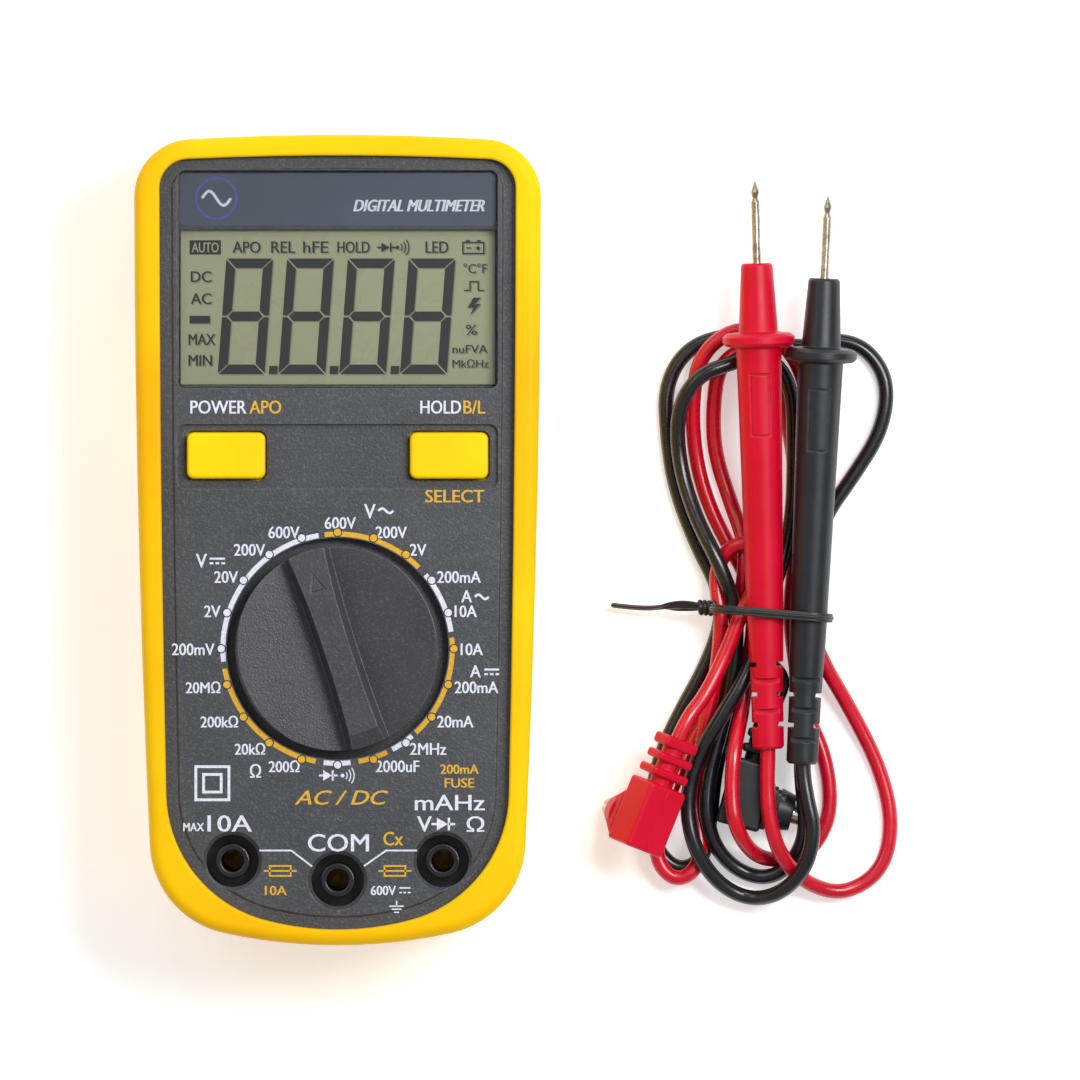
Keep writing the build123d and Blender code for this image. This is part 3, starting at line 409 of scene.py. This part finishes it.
DARK_INK = printed("dark_ink", srgb(44, 44, 48), srgb(36, 36, 40))
SEGMENT_INK = printed("segment_ink", srgb(8, 7, 12), srgb(14, 13, 18))
# painted shadow of the display's marks: a darker tone of the film
PAINTED_SHADOW_INK = printed("painted_shadow_ink", srgb(134, 134, 106), srgb(141, 141, 112))


def dress_nodes():
    """Give every CAD node the look of its material slot."""
    for part in frame["record"]["subparts"]:
        node = frame["nodes"][part["node"]]
        for slot in node.material_slots:
            slot.material = LOOKS[part["material_slot"]]


dress_nodes()
for colour, cord in cords.items():
    cord.data.materials.append(LOOKS[colour + "_cord"])


# ---------------------------------------------------------------------------------------------------
# Thin printed marks
# ---------------------------------------------------------------------------------------------------
USUAL_NARROWING = 0.88     # letters are this much narrower than the font draws them
STACK_STEP = 0.002         # each bolder copy of a word lies this much higher


class Print:
    """Flat raised marks on the meter, gathered into one mesh."""

    def __init__(self, name, level, thick=0.03):
        self.name = name
        self.low, self.high = level, level + thick
        self.verts, self.faces = [], []

    def outline(self, points):
        """A closed outline with no holes, given anticlockwise, raised into a thin plate."""
        start, count = len(self.verts), len(points)
        for z in (self.low, self.high):
            self.verts += [(x, y, z) for x, y in points]
        self.faces.append([start + i for i in reversed(range(count))])
        self.faces.append([start + count + i for i in range(count)])
        for i in range(count):
            j = (i + 1) % count
            self.faces.append([start + i, start + j, start + count + j, start + count + i])

    def strip(self, points, width, closed=False):
        """A line of even width through points, mitred at its corners."""
        line = [Vector(p) for p in points]
        count, start = len(line), len(self.verts)
        for i, here in enumerate(line):
            before = line[i - 1] if i or closed else here * 2 - line[1]
            after = line[(i + 1) % count] if i + 1 < count or closed else here * 2 - line[-2]
            one, two = (here - before).normalized(), (after - here).normalized()
            side = Vector((-one.y - two.y, one.x + two.x)).normalized()
            side *= width / 2 / max(0.4, side.dot(Vector((-one.y, one.x))))
            for z in (self.low, self.high):
                self.verts += [(*(here + side), z), (*(here - side), z)]
        for i in range(count if closed else count - 1):
            a, b = start + 4 * i, start + 4 * ((i + 1) % count)
            self.faces += [[a + 3, b + 3, b + 2, a + 2], [a, b, b + 1, a + 1], [a + 2, b + 2, b, a],
                           [a + 1, b + 1, b + 3, a + 3]]

    def disc(self, x, y, radius, sides=24):
        """A full round mark."""
        turns = [2 * pi * i / sides for i in range(sides)]
        self.outline([(x + radius * cos(a), y + radius * sin(a)) for a in turns])

    def sector(self, x, y, inner, outer, start, end, step=3.0):
        """Part of a ring between two clock angles in degrees, 0 at the top."""
        count = max(1, round((end - start) / step))
        clock = [radians(start + (end - start) * i / count) for i in range(count + 1)]
        far = [(x + outer * sin(a), y + outer * cos(a)) for a in reversed(clock)]
        near = [(x + inner * sin(a), y + inner * cos(a)) for a in clock]
        self.outline(near + far)

    def text(self, words, x, y, height, width=None, anchor="left", bold=0.05, slant=0.0):
        """Lettering of a cap height, from its left, right or middle, with its foot at y.

        Two more copies, a little to each side and a hair higher, make the strokes bolder.
        """
        curve = bpy.data.curves.new(self.name, "FONT")
        curve.body = words
        curve.shear = slant
        curve.extrude = 0.5
        curve.resolution_u = 3
        mesh = evaluated_mesh(link(bpy.data.objects.new(self.name + "_text", curve)))
        xs = [v.co.x for v in mesh.vertices]
        ys = [v.co.y for v in mesh.vertices]
        left, foot, length = min(xs), min(ys), max(xs) - min(xs)
        tall = height / (max(ys) - foot)
        wide = (width - 2 * bold) / length if width else tall * USUAL_NARROWING
        shift = {"left": -bold, "right": bold, "middle": 0.0}[anchor]
        shift += {"left": 0.0, "right": 1.0, "middle": 0.5}[anchor] * length * wide
        for copy, offset in enumerate((0.0, -bold, bold)):
            start = len(self.verts)
            for v in mesh.vertices:
                z = (self.high if v.co.z > 0 else self.low) + STACK_STEP * copy
                across = x + (v.co.x - left) * wide - shift + offset
                self.verts.append((across, y + (v.co.y - foot) * tall, z))
            self.faces += [[start + i for i in face.vertices] for face in mesh.polygons]
        bpy.data.meshes.remove(mesh)

    def make(self, material, slot):
        """The finished piece, in its material, on the meter's body; slot, the surface that carries it, is
        not used.
        """
        mesh = bpy.data.meshes.new(self.name)
        mesh.from_pydata([Vector(v) * MM for v in self.verts], [], self.faces)
        mesh.materials.append(material)
        mesh.validate()
        piece = link(bpy.data.objects.new(self.name, mesh))
        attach(piece, "meter")
        return piece


SIGN_RISE = 0.42           # how far the signs for current reach above and below their middle


def wave(x, y, width, height, steps=16):
    """Points of one full sine wave from x, about the line y."""
    return [(x + width * i / steps, y + height * sin(2 * pi * i / steps)) for i in range(steps + 1)]


def rectangle(x, y, half_wide, half_tall):
    """Corners of an upright rectangle about its middle."""
    return [(x - half_wide, y - half_tall), (x + half_wide, y - half_tall),
            (x + half_wide, y + half_tall), (x - half_wide, y + half_tall)]


def tilde(sheet, x, y, width):
    """The sign for alternating current."""
    sheet.strip(wave(x, y, width, SIGN_RISE), SIGN_RISE)


def steady(sheet, x, y, width, line=0.36):
    """The sign for direct current: a bar over three dashes."""
    sheet.strip([(x, y + SIGN_RISE), (x + width, y + SIGN_RISE)], line)
    for i in range(3):
        left = x + i * width * 0.38
        sheet.strip([(left, y - SIGN_RISE), (left + width * 0.24, y - SIGN_RISE)], line)


def diode(sheet, x, y, width=2.6, height=1.9, line=0.34):
    """A diode sign on its line."""
    sheet.strip([(x - width * 0.3, y), (x, y)], line)
    sheet.outline([(x, y - height / 2), (x + width * 0.6, y), (x, y + height / 2)])
    sheet.strip([(x + width * 0.66, y - height / 2), (x + width * 0.66, y + height / 2)], line)
    sheet.strip([(x + width * 0.66, y), (x + width, y)], line)


def sounder(sheet, x, y, line=0.22):
    """A dot with three growing arcs: the continuity sounder."""
    sheet.disc(x, y, 0.36, 12)
    for i in range(3):
        inner = 0.95 + 0.62 * i
        sheet.sector(x - 0.2, y, inner, inner + line, 52, 128, 13)


# ---------------------------------------------------------------------------------------------------
# Markings of the face
# ---------------------------------------------------------------------------------------------------
PANEL_Z = mm_box("front_case")[1].z
KNOB_X, KNOB_Y = (sum(end[axis] for end in mm_box("selector_rotor")) / 2 for axis in (0, 1))
CLICK = 18.0               # degrees between two positions of the selector
ARC_R = (20.35, 21.25)     # inner and outer edge of the dial's coloured arcs
DOT_AT = 21.1              # the dots sit this far from its middle
DOT_R = 0.66
DOT_RING_R = 0.86
LABEL_R = 22.3             # labels of the dial start this far from its middle
LABEL_HEIGHT = 2.15
RANGES = ["600V", "200V", "2V", "200mA", "10A", "10A", "200mA", "20mA", "2MHz", "2000uF", "",
          "200Ω", "20kΩ", "200kΩ", "20MΩ", "200mV", "2V", "20V", "200V", "600V"]
CENTRED = 0                # click whose label sits over its dot
# coloured arcs of the dial: first and last clock angle, and their ink
ARCS = [(-6.5, 45, "yellow"), (50, 81.5, "white"), (84.5, 137, "yellow"), (139.5, 151.5, "white"),
        (154.5, 169.5, "yellow"), (173.5, 187, "white"), (191, 260, "yellow"), (263.5, 350.5, "white")]

white = Print("panel_print_white", PANEL_Z)
yellow = Print("panel_print_yellow", PANEL_Z)
inks = {"white": white, "yellow": yellow}
rings = Print("dial_dot_rings", PANEL_Z + 0.03)
dots = {ink: Print("dial_dots_" + ink, PANEL_Z + 0.05) for ink in inks}


def dial_marks():
    """Arcs, and a ringed dot for each click."""
    for start, end, ink in ARCS:
        inks[ink].sector(KNOB_X, KNOB_Y, *ARC_R, start, end)
    for click in range(len(RANGES)):
        angle = click * CLICK
        ink = next((i for a, b, i in ARCS if a <= angle <= b or a <= angle - 360 <= b), "white")
        x, y = KNOB_X + DOT_AT * sin(radians(angle)), KNOB_Y + DOT_AT * cos(radians(angle))
        rings.disc(x, y, DOT_RING_R)
        dots[ink].disc(x, y, DOT_R)


def dial_labels():
    """Range names, each starting beside its dot and growing away from the dial."""
    for click, words in enumerate(RANGES):
        if not words:
            continue
        angle = radians(click * CLICK)
        x, y = KNOB_X + LABEL_R * sin(angle), KNOB_Y + LABEL_R * cos(angle)
        if click == CENTRED:
            white.text(words, KNOB_X + 0.5, y - 0.6, LABEL_HEIGHT, anchor="middle")
        else:
            anchor = "left" if click < len(RANGES) / 2 else "right"
            white.text(words, x, y - 1.2, LABEL_HEIGHT, anchor=anchor)


def dial_headings():
    """What each group of ranges measures."""
    white.text("V", 4.8, 3.9, 2.6)
    tilde(white, 7.4, 5.3, 2.7)
    white.text("A", 22.4, -11.3, 2.2)
    tilde(white, 24.9, -10.3, 2.5)
    white.text("A", 24.0, -24.9, 2.2)
    steady(white, 26.6, -23.9, 2.7)
    white.text("V", -25.7, -5.0, 2.5)
    steady(white, -23.2, -3.8, 2.8)
    white.text("Ω", -15.9, -43.1, 2.5)
    diode(white, -2.6, -42.7)
    sounder(white, 0.9, -42.7)


# names over the buttons and beside the jacks: ink, words, left edge, foot, height, width
PANEL_WORDS = [
    ("white", "POWER", -26.7, 22.9, 2.4, 10.2), ("yellow", "APO", -16.0, 22.9, 2.4, 5.8),
    ("white", "HOLD", 15.0, 22.9, 2.4, 7.4), ("yellow", "B/L", 22.8, 22.9, 2.4, 4.0),
    ("yellow", "SELECT", 15.9, 6.8, 2.3, 10.7), ("white", "MAX", -28.0, -52.8, 1.5, 3.8),
    ("white", "10A", -23.6, -52.9, 3.0, 8.1), ("white", "COM", -5.4, -56.5, 3.2, 11.1),
    ("yellow", "Cx", 8.3, -55.4, 2.5, 3.6), ("white", "mAHz", 14.0, -49.0, 2.8, 12.7),
    ("white", "V", 14.4, -52.9, 2.8, 2.7), ("white", "Ω", 23.4, -52.9, 2.8, 3.2),
    ("yellow", "200mA", 18.6, -42.4, 1.7, 7.0), ("yellow", "FUSE", 19.4, -44.9, 1.7, 5.4),
    ("white", "600V", 6.0, -64.4, 1.7, 4.6), ("yellow", "10A", -13.2, -64.4, 1.7, 4.0),
]


def panel_words():
    """Printed names, the diode sign among them, and the lines that join the jacks' fields."""
    for ink, words, left, foot, height, width in PANEL_WORDS:
        inks[ink].text(words, left, foot, height, width)
    yellow.text("AC / DC", -7.8, -48.0, 2.6, 17.0, slant=0.28)
    diode(white, 18.0, -51.5, 3.3, 2.3, 0.42)
    white.strip([(-14.2, -56.3), (-8.4, -56.3), (-4.6, -59.2)], 0.3)
    white.strip([(14.4, -56.3), (8.8, -56.3), (4.8, -59.1)], 0.3)


def panel_signs():
    """Plain signs: a box in a box, two fuses and an earth."""
    for half in (3.0, 1.6):
        white.strip(rectangle(-22.7, -44.1, half, half), 0.5, closed=True)
    for x in (-10.4, 10.4):
        yellow.strip(rectangle(x, -60.0, 1.9, 0.9), 0.3, closed=True)
        yellow.strip([(x - 3.0, -60.0), (x + 3.0, -60.0)], 0.3)
    steady(white, 11.2, -63.5, 2.0, 0.28)
    earth_x, earth_y = 10.7, -66.4
    white.strip([(earth_x, earth_y + 1.0), (earth_x, earth_y)], 0.25)
    for i in range(3):
        half = 1.3 - 0.42 * i
        y = earth_y - 0.55 * i
        white.strip([(earth_x - half, y), (earth_x + half, y)], 0.25)


dial_marks()
dial_labels()
dial_headings()
panel_words()
panel_signs()
white.make(WHITE_INK, "case_plastic")
yellow.make(YELLOW_INK, "case_plastic")
rings.make(DARK_INK, "case_plastic")
dots["white"].make(WHITE_INK, "case_plastic")
dots["yellow"].make(YELLOW_INK, "case_plastic")

# ---------------------------------------------------------------------------------------------------
# Title strip behind the lens
# ---------------------------------------------------------------------------------------------------
STRIP_HIGH = mm_box("title_strip")[1]
BADGE = (-22.0, 62.0)      # middle of the badge: a sine wave in a ring
BADGE_R = (3.5, 3.85)
BADGE_WAVE = 5.2
title = Print("title_print_white", STRIP_HIGH.z + 0.01, thick=0.01)
title.text("DIGITAL MULTIMETER", STRIP_HIGH.x - 2.0, 59.6, 2.15, 23.9, anchor="right", bold=0.11, slant=0.3)
title.strip(wave(BADGE[0] - BADGE_WAVE / 2, BADGE[1], BADGE_WAVE, 1.3), 0.5)
title.make(WHITE_INK, "title_film")
badge = Print("title_badge", STRIP_HIGH.z + 0.01, thick=0.01)
for half_turn in (0, 180):
    badge.sector(*BADGE, *BADGE_R, half_turn, half_turn + 180, 9)
badge.make(BLUE_INK, "title_film")

# ---------------------------------------------------------------------------------------------------
# Display: four digits and the small signs round them
# ---------------------------------------------------------------------------------------------------
GLASS_Z = mm_box("lcd_glass")[1].z
DIGIT = (8.5, 21.0)        # upright width and height
DIGIT_LEAN = 0.075         # how far the top leans right, for each millimetre up
SEGMENT = 1.75             # width of a segment
SEGMENT_GAP = 0.16
POINT = (1.55, 1.5)        # decimal point
POINT_AFTER = 0.75         # from a digit to the point after it
SHADOW_SHIFT = 0.22
DIGIT_LEFT = -21.8
DIGIT_FOOT = 30.1
DIGIT_PITCH = 11.03


def leaning(points, left):
    """Points of an upright digit, moved to its place and leaned."""
    return [(left + x + y * DIGIT_LEAN, DIGIT_FOOT + y) for x, y in points]


def digit(sheet, left):
    """Seven mitred segments of one leaning digit."""
    wide, tall = DIGIT
    t, g, mid = SEGMENT, SEGMENT_GAP, tall / 2
    low = [(g, 0), (wide - g, 0), (wide - t - g, t), (t + g, t)]
    top = [(t + g, tall - t), (wide - t - g, tall - t), (wide - g, tall), (g, tall)]
    bar = [(t * 0.55 + g, mid), (t + g, mid - t / 2), (wide - t - g, mid - t / 2),
           (wide - t * 0.55 - g, mid), (wide - t - g, mid + t / 2), (t + g, mid + t / 2)]
    upper = [(0, mid + g), (t * 0.5, mid + g), (t, mid + t / 2 + g), (t, tall - t - g), (0, tall - g)]
    lower = [(0, g), (t, t + g), (t, mid - t / 2 - g), (t * 0.5, mid - g), (0, mid - g)]
    for side in (upper, lower):
        sheet.outline(leaning(side, left))
        sheet.outline(leaning([(wide - x, y) for x, y in reversed(side)], left))
    for segment in (low, top, bar):
        sheet.outline(leaning(segment, left))


# small words of the display: words, left edge, foot, height, width, and how bold they are
DISPLAY_WORDS = [
    ("APO", -19.1, 52.1, 2.1, 5.1, 0.05), ("REL", -12.1, 52.1, 2.1, 4.4, 0.05),
    ("hFE", -6.3, 52.1, 2.1, 4.6, 0.05), ("HOLD", -0.1, 52.1, 2.1, 5.9, 0.05),
    ("LED", 15.9, 52.1, 2.1, 4.2, 0.05), ("DC", -26.7, 46.8, 2.0, 3.8, 0.05),
    ("AC", -26.7, 42.8, 2.0, 3.8, 0.05), ("MAX", -27.1, 35.4, 2.0, 4.9, 0.05),
    ("MIN", -27.1, 31.6, 2.0, 4.3, 0.05), ("°C°F", 22.8, 48.4, 1.8, 4.3, 0.03),
    ("%", 23.2, 37.2, 1.9, 2.1, 0.03), ("nuFVA", 20.8, 33.9, 1.5, 6.4, 0.03),
    ("MkΩHz", 20.8, 31.3, 1.5, 6.6, 0.03),
]


def display_signs(sheet):
    """Words and signs along the top, the left and the right of the display."""
    for words, left, foot, height, width, bold in DISPLAY_WORDS:
        sheet.text(words, left, foot, height, width, bold=bold)
    sheet.outline(rectangle(-25.05, 40.0, 1.85, 0.7))
    diode(sheet, 7.9, 53.1, 2.6, 1.7, 0.3)
    sounder(sheet, 10.8, 53.1)
    pulse = [(22.9, 45.3), (24.0, 45.3), (24.0, 46.9), (25.5, 46.9), (25.5, 45.3), (26.6, 45.3)]
    sheet.strip(pulse, 0.25)
    bolt = [(24.0, 40.7), (26.0, 42.9), (24.9, 42.8), (26.0, 44.0), (24.6, 44.0), (23.5, 42.1), (24.6, 42.2)]
    sheet.outline(bolt)
    battery_sign(sheet, 24.6, 53.0)


def battery_sign(sheet, x, y):
    """A battery with its two caps, a minus and a plus."""
    sheet.strip(rectangle(x, y, 1.9, 1.0), 0.28, closed=True)
    sheet.strip([(x - 1.3, y), (x - 0.4, y)], 0.25)
    sheet.strip([(x + 0.4, y), (x + 1.3, y)], 0.25)
    sheet.strip([(x + 0.85, y - 0.45), (x + 0.85, y + 0.45)], 0.25)
    for cap in (x - 1.0, x + 1.0):
        sheet.strip([(cap - 0.35, y + 1.3), (cap + 0.35, y + 1.3)], 0.3)


def display_marks(name, level, material, shift=0.0):
    """All dark marks of the display; a shifted paler copy lies under them as their painted shadow."""
    sheet = Print(name, level, thick=0.01)
    point = [(0, 0), (POINT[0], 0), POINT, (0, POINT[1])]
    for place in range(4):
        left = DIGIT_LEFT + place * DIGIT_PITCH
        digit(sheet, left)
        if place < 3:
            sheet.outline(leaning(point, left + DIGIT[0] + POINT_AFTER))
    display_signs(sheet)
    sheet.verts = [(x + shift, y - shift, z) for x, y, z in sheet.verts]
    sheet.make(material, "lcd_cell")


# painted shadow of the segments on the film, shifted down and to the right
display_marks("display_shadows", GLASS_Z + 0.005, PAINTED_SHADOW_INK, SHADOW_SHIFT)
display_marks("display_segments", GLASS_Z + 0.03, SEGMENT_INK)
auto_box = Print("display_auto_box", GLASS_Z + 0.03, thick=0.01)
auto_box.outline(rectangle(-24.05, 53.1, 2.85, 1.3))
auto_box.make(SEGMENT_INK, "lcd_cell")
auto_word = Print("display_auto_word", GLASS_Z + 0.05, thick=0.01)
auto_word.text("AUTO", -26.5, 52.2, 1.8, 4.9, bold=0.03)
auto_word.make(LOOKS["lcd_cell"], "lcd_cell")


# ---------------------------------------------------------------------------------------------------
# Twisted wire tie round the bundle
# ---------------------------------------------------------------------------------------------------
TIE_MIDDLE = (79.0, -13.4)
TIE_TURN = -4.7
TIE_SIZE = (22.0, 15.4)    # middle line of the loop: width and height
TIE_CORNER = 4.1
TIE_FOOT = 0.55            # height of that line at its lowest
CORNER_STEPS = 10
KNOT_Z = 7.0
KNOT_R = 1.0               # the tie's end is wound round itself this far out
KNOT_LENGTH = 2.6
KNOT_STRAND_R = 0.52
KNOT_STRAND_SIDES = 10
WRAP_STEPS = 72            # points along the winding, 24 to a turn
# free end of the tie, from the loop's left side: left, back, height
TAIL_ROUTE = [(0.4, 0, 7.0), (-3.5, 0.2, 7.0), (-7.5, -0.2, 6.2), (-12.5, -1.2, 4.0), (-18.4, -0.9, 2.7)]


def sweep(name, line, profile, closed=False, twist=lambda share: 0.0, up=Vector((0, 1, 0))):
    """A profile carried along a line of points in millimetres, turned by twist along the way."""
    verts, faces, count = [], [], len(line)
    for i, here in enumerate(line):
        before = line[i - 1] if i or closed else here
        after = line[(i + 1) % count] if i + 1 < count or closed else here
        along = (after - before).normalized()
        side = along.cross(up).normalized()
        other = side.cross(along)
        angle = twist(i / (count - 1))
        for x, y in profile:
            turned = (x * cos(angle) - y * sin(angle), x * sin(angle) + y * cos(angle))
            verts.append((here + side * turned[0] + other * turned[1]) * MM)
    sides = len(profile)
    for i in range(count if closed else count - 1):
        for j in range(sides):
            a, b = i * sides, ((i + 1) % count) * sides
            faces.append([a + j, a + (j + 1) % sides, b + (j + 1) % sides, b + j])
    if not closed:
        faces += [list(reversed(range(sides))), [(count - 1) * sides + j for j in range(sides)]]
    mesh = bpy.data.meshes.new(name)
    mesh.from_pydata(verts, [], faces)
    mesh.polygons.foreach_set("use_smooth", [True] * len(faces))
    return link(bpy.data.objects.new(name, mesh))


def ribbon_profile(thick, wide, core):
    """Section of the tie: a flat ribbon with a wire core standing out in its middle, and beaded edges."""
    across = [(-1.0, 0.30), (-0.86, 0.62), (-0.62, 0.50), (-0.36, 0.55), (-0.2, core), (0.0, core * 1.12),
              (0.2, core), (0.36, 0.55), (0.62, 0.50), (0.86, 0.62), (1.0, 0.30)]
    front = [(thick / 2 * t, wide / 2 * w) for w, t in across]
    back = [(-thick / 2 * t, wide / 2 * w) for w, t in reversed(across)]
    return front + back


def loop_line():
    """Rounded upright loop round the bundle, as points of its middle line in the tie's own plane."""
    wide, high = TIE_SIZE
    far, top = wide / 2 - TIE_CORNER, high - TIE_CORNER
    points = []
    for x, z, start in ((far, top, 0), (-far, top, 90), (-far, TIE_CORNER, 180), (far, TIE_CORNER, 270)):
        for i in range(CORNER_STEPS + 1):
            a = radians(start + 90 / CORNER_STEPS * i)
            points.append(Vector((x + TIE_CORNER * cos(a), 0, TIE_FOOT + z + TIE_CORNER * sin(a))))
    return points


def knot_line(left):
    """Winding of the tie's end round itself, at the left side of the loop."""
    points = []
    for i in range(WRAP_STEPS + 1):
        a = radians(15 * i)
        along = left - 2.2 + KNOT_LENGTH * i / WRAP_STEPS
        points.append(Vector((along, KNOT_R * cos(a), KNOT_Z + KNOT_R * sin(a))))
    return points


def tail_turn(share):
    """Twist of the free end: it lies flat, stands up by the knot, and lies flat again."""
    return radians(90 - 55 * sin(pi * min(1.0, 1.6 * share)))


def make_tie():
    """Loop, wrapped knot and flat free tail, set on the bundle."""
    left = -TIE_SIZE[0] / 2
    loop = sweep("tie_loop", loop_line(), ribbon_profile(0.95, 1.65, 1.0), closed=True)
    round_turns = [2 * pi * k / KNOT_STRAND_SIDES for k in range(KNOT_STRAND_SIDES)]
    strand = [(KNOT_STRAND_R * cos(a), KNOT_STRAND_R * sin(a)) for a in round_turns]
    knot = sweep("tie_knot", knot_line(left), strand, up=Vector((1, 0, 0)))
    guide = route_curve("tie_guide", [(left + x, y, z) for x, y, z in TAIL_ROUTE])
    line = [v.co / MM for v in evaluated_mesh(guide).vertices]
    tail = sweep("tie_tail", line, ribbon_profile(0.85, 2.3, 1.05), twist=tail_turn)
    turn = Matrix.Translation(Vector((*TIE_MIDDLE, 0)) * MM) @ Matrix.Rotation(radians(TIE_TURN), 4, "Z")
    for piece in (loop, knot, tail):
        piece.data.transform(turn)
        piece.data.materials.append(LOOKS["tie_black"])
        piece.modifiers.new("smooth", "SUBSURF").render_levels = 1
        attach(piece, "test_leads")
    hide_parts("twist_tie")


make_tie()


# how each plug lies, as in the CAD: middle of its body, turn about the upright and roll about its length
PLUG_LIES = {"red": ((56.2, -50.4, 12.3), -22.0, 121.0), "black": ((74.4, -46.5, 4.2), -15.0, 0.0)}
PLUG_BACK = -4.0           # back face of the body
SEAM_PROFILE = [(-0.10, -0.09), (0.10, -0.09), (0.05, 0.07), (-0.05, 0.07)]


def make_plug_seams():
    """Raised parting line along the back of each plug's body, between its two moulded halves."""
    for colour, (place, turn, roll) in PLUG_LIES.items():
        line = [Vector((PLUG_BACK, -6.0 + 1.5 * i, 0)) for i in range(9)]
        seam = sweep(colour + "_plug_seam", line, SEAM_PROFILE, up=Vector((-1, 0, 0)))
        frame_of_plug = (Matrix.Translation(Vector(place) * MM) @ Matrix.Rotation(radians(turn), 4, "Z")
                         @ Matrix.Rotation(radians(roll), 4, "Y"))
        seam.data.transform(frame_of_plug)
        seam.data.materials.append(LOOKS[colour + "_plastic"])
        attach(seam, "test_leads")


make_plug_seams()

# ---------------------------------------------------------------------------------------------------
# Stage and light
# ---------------------------------------------------------------------------------------------------
FLOOR_HALF = 3.0
FLOOR_GLOW = 0.45          # keeps the paper white right up to the object
WORLD_COLOUR = (0.97, 0.98, 1.0, 1)
WORLD_STRENGTH = 0.34
MIDDLE = (0.03, 0.0, 0.03)
# soft lamps: name, place, what it faces, size, watts
LAMPS = [
    ("key", (0.56, 0.20, 0.86), MIDDLE, (0.26, 0.34), 4.6),
    ("near_key", (0.21, 0.16, 0.56), (-0.01, 0.01, 0.035), (0.10, 0.10), 1.0),
    ("fill", (-0.62, 0.40, 0.80), MIDDLE, (0.6, 0.6), 2.0),
    ("top", (0.02, 0.85, 0.75), MIDDLE, (0.7, 0.25), 1.6),
]


def make_floor():
    """White paper under the object."""
    mesh = bpy.data.meshes.new("floor")
    corners = rectangle(0, 0, FLOOR_HALF, FLOOR_HALF)
    mesh.from_pydata([(x, y, 0) for x, y in corners], [], [(0, 1, 2, 3)])
    floor = link(bpy.data.objects.new("floor", mesh))
    look = Look("floor_paper", Emission_Color=(1, 1, 1, 1), Emission_Strength=FLOOR_GLOW)
    tone = look.mix(look.noise(60.0, 3.0), (0.86, 0.86, 0.86, 1), (0.90, 0.90, 0.90, 1))
    shine = look.span(look.noise(2.0, 2.0), 0, 1, 0.7, 0.85)
    mesh.materials.append(look.wear(Base_Color=tone, Roughness=shine))


def softbox(name, place, target, size, power):
    """A large rectangular lamp that faces a point."""
    data = bpy.data.lights.new(name, "AREA")
    data.shape = "RECTANGLE"
    data.size, data.size_y = size
    data.energy = power
    lamp = link(bpy.data.objects.new(name, data))
    lamp.location = place
    lamp.rotation_euler = (Vector(target) - Vector(place)).to_track_quat("-Z", "Y").to_euler()


def make_light():
    """Soft light from above, strongest on the right."""
    world = bpy.data.worlds.new("studio")
    world.use_nodes = True
    background = world.node_tree.nodes["Background"]
    background.inputs["Color"].default_value = WORLD_COLOUR
    background.inputs["Strength"].default_value = WORLD_STRENGTH
    bpy.context.scene.world = world
    for lamp in LAMPS:
        softbox(*lamp)


bpy.context.scene.view_settings.view_transform = "Standard"
make_floor()
make_light()
bpy.context.view_layer.update()
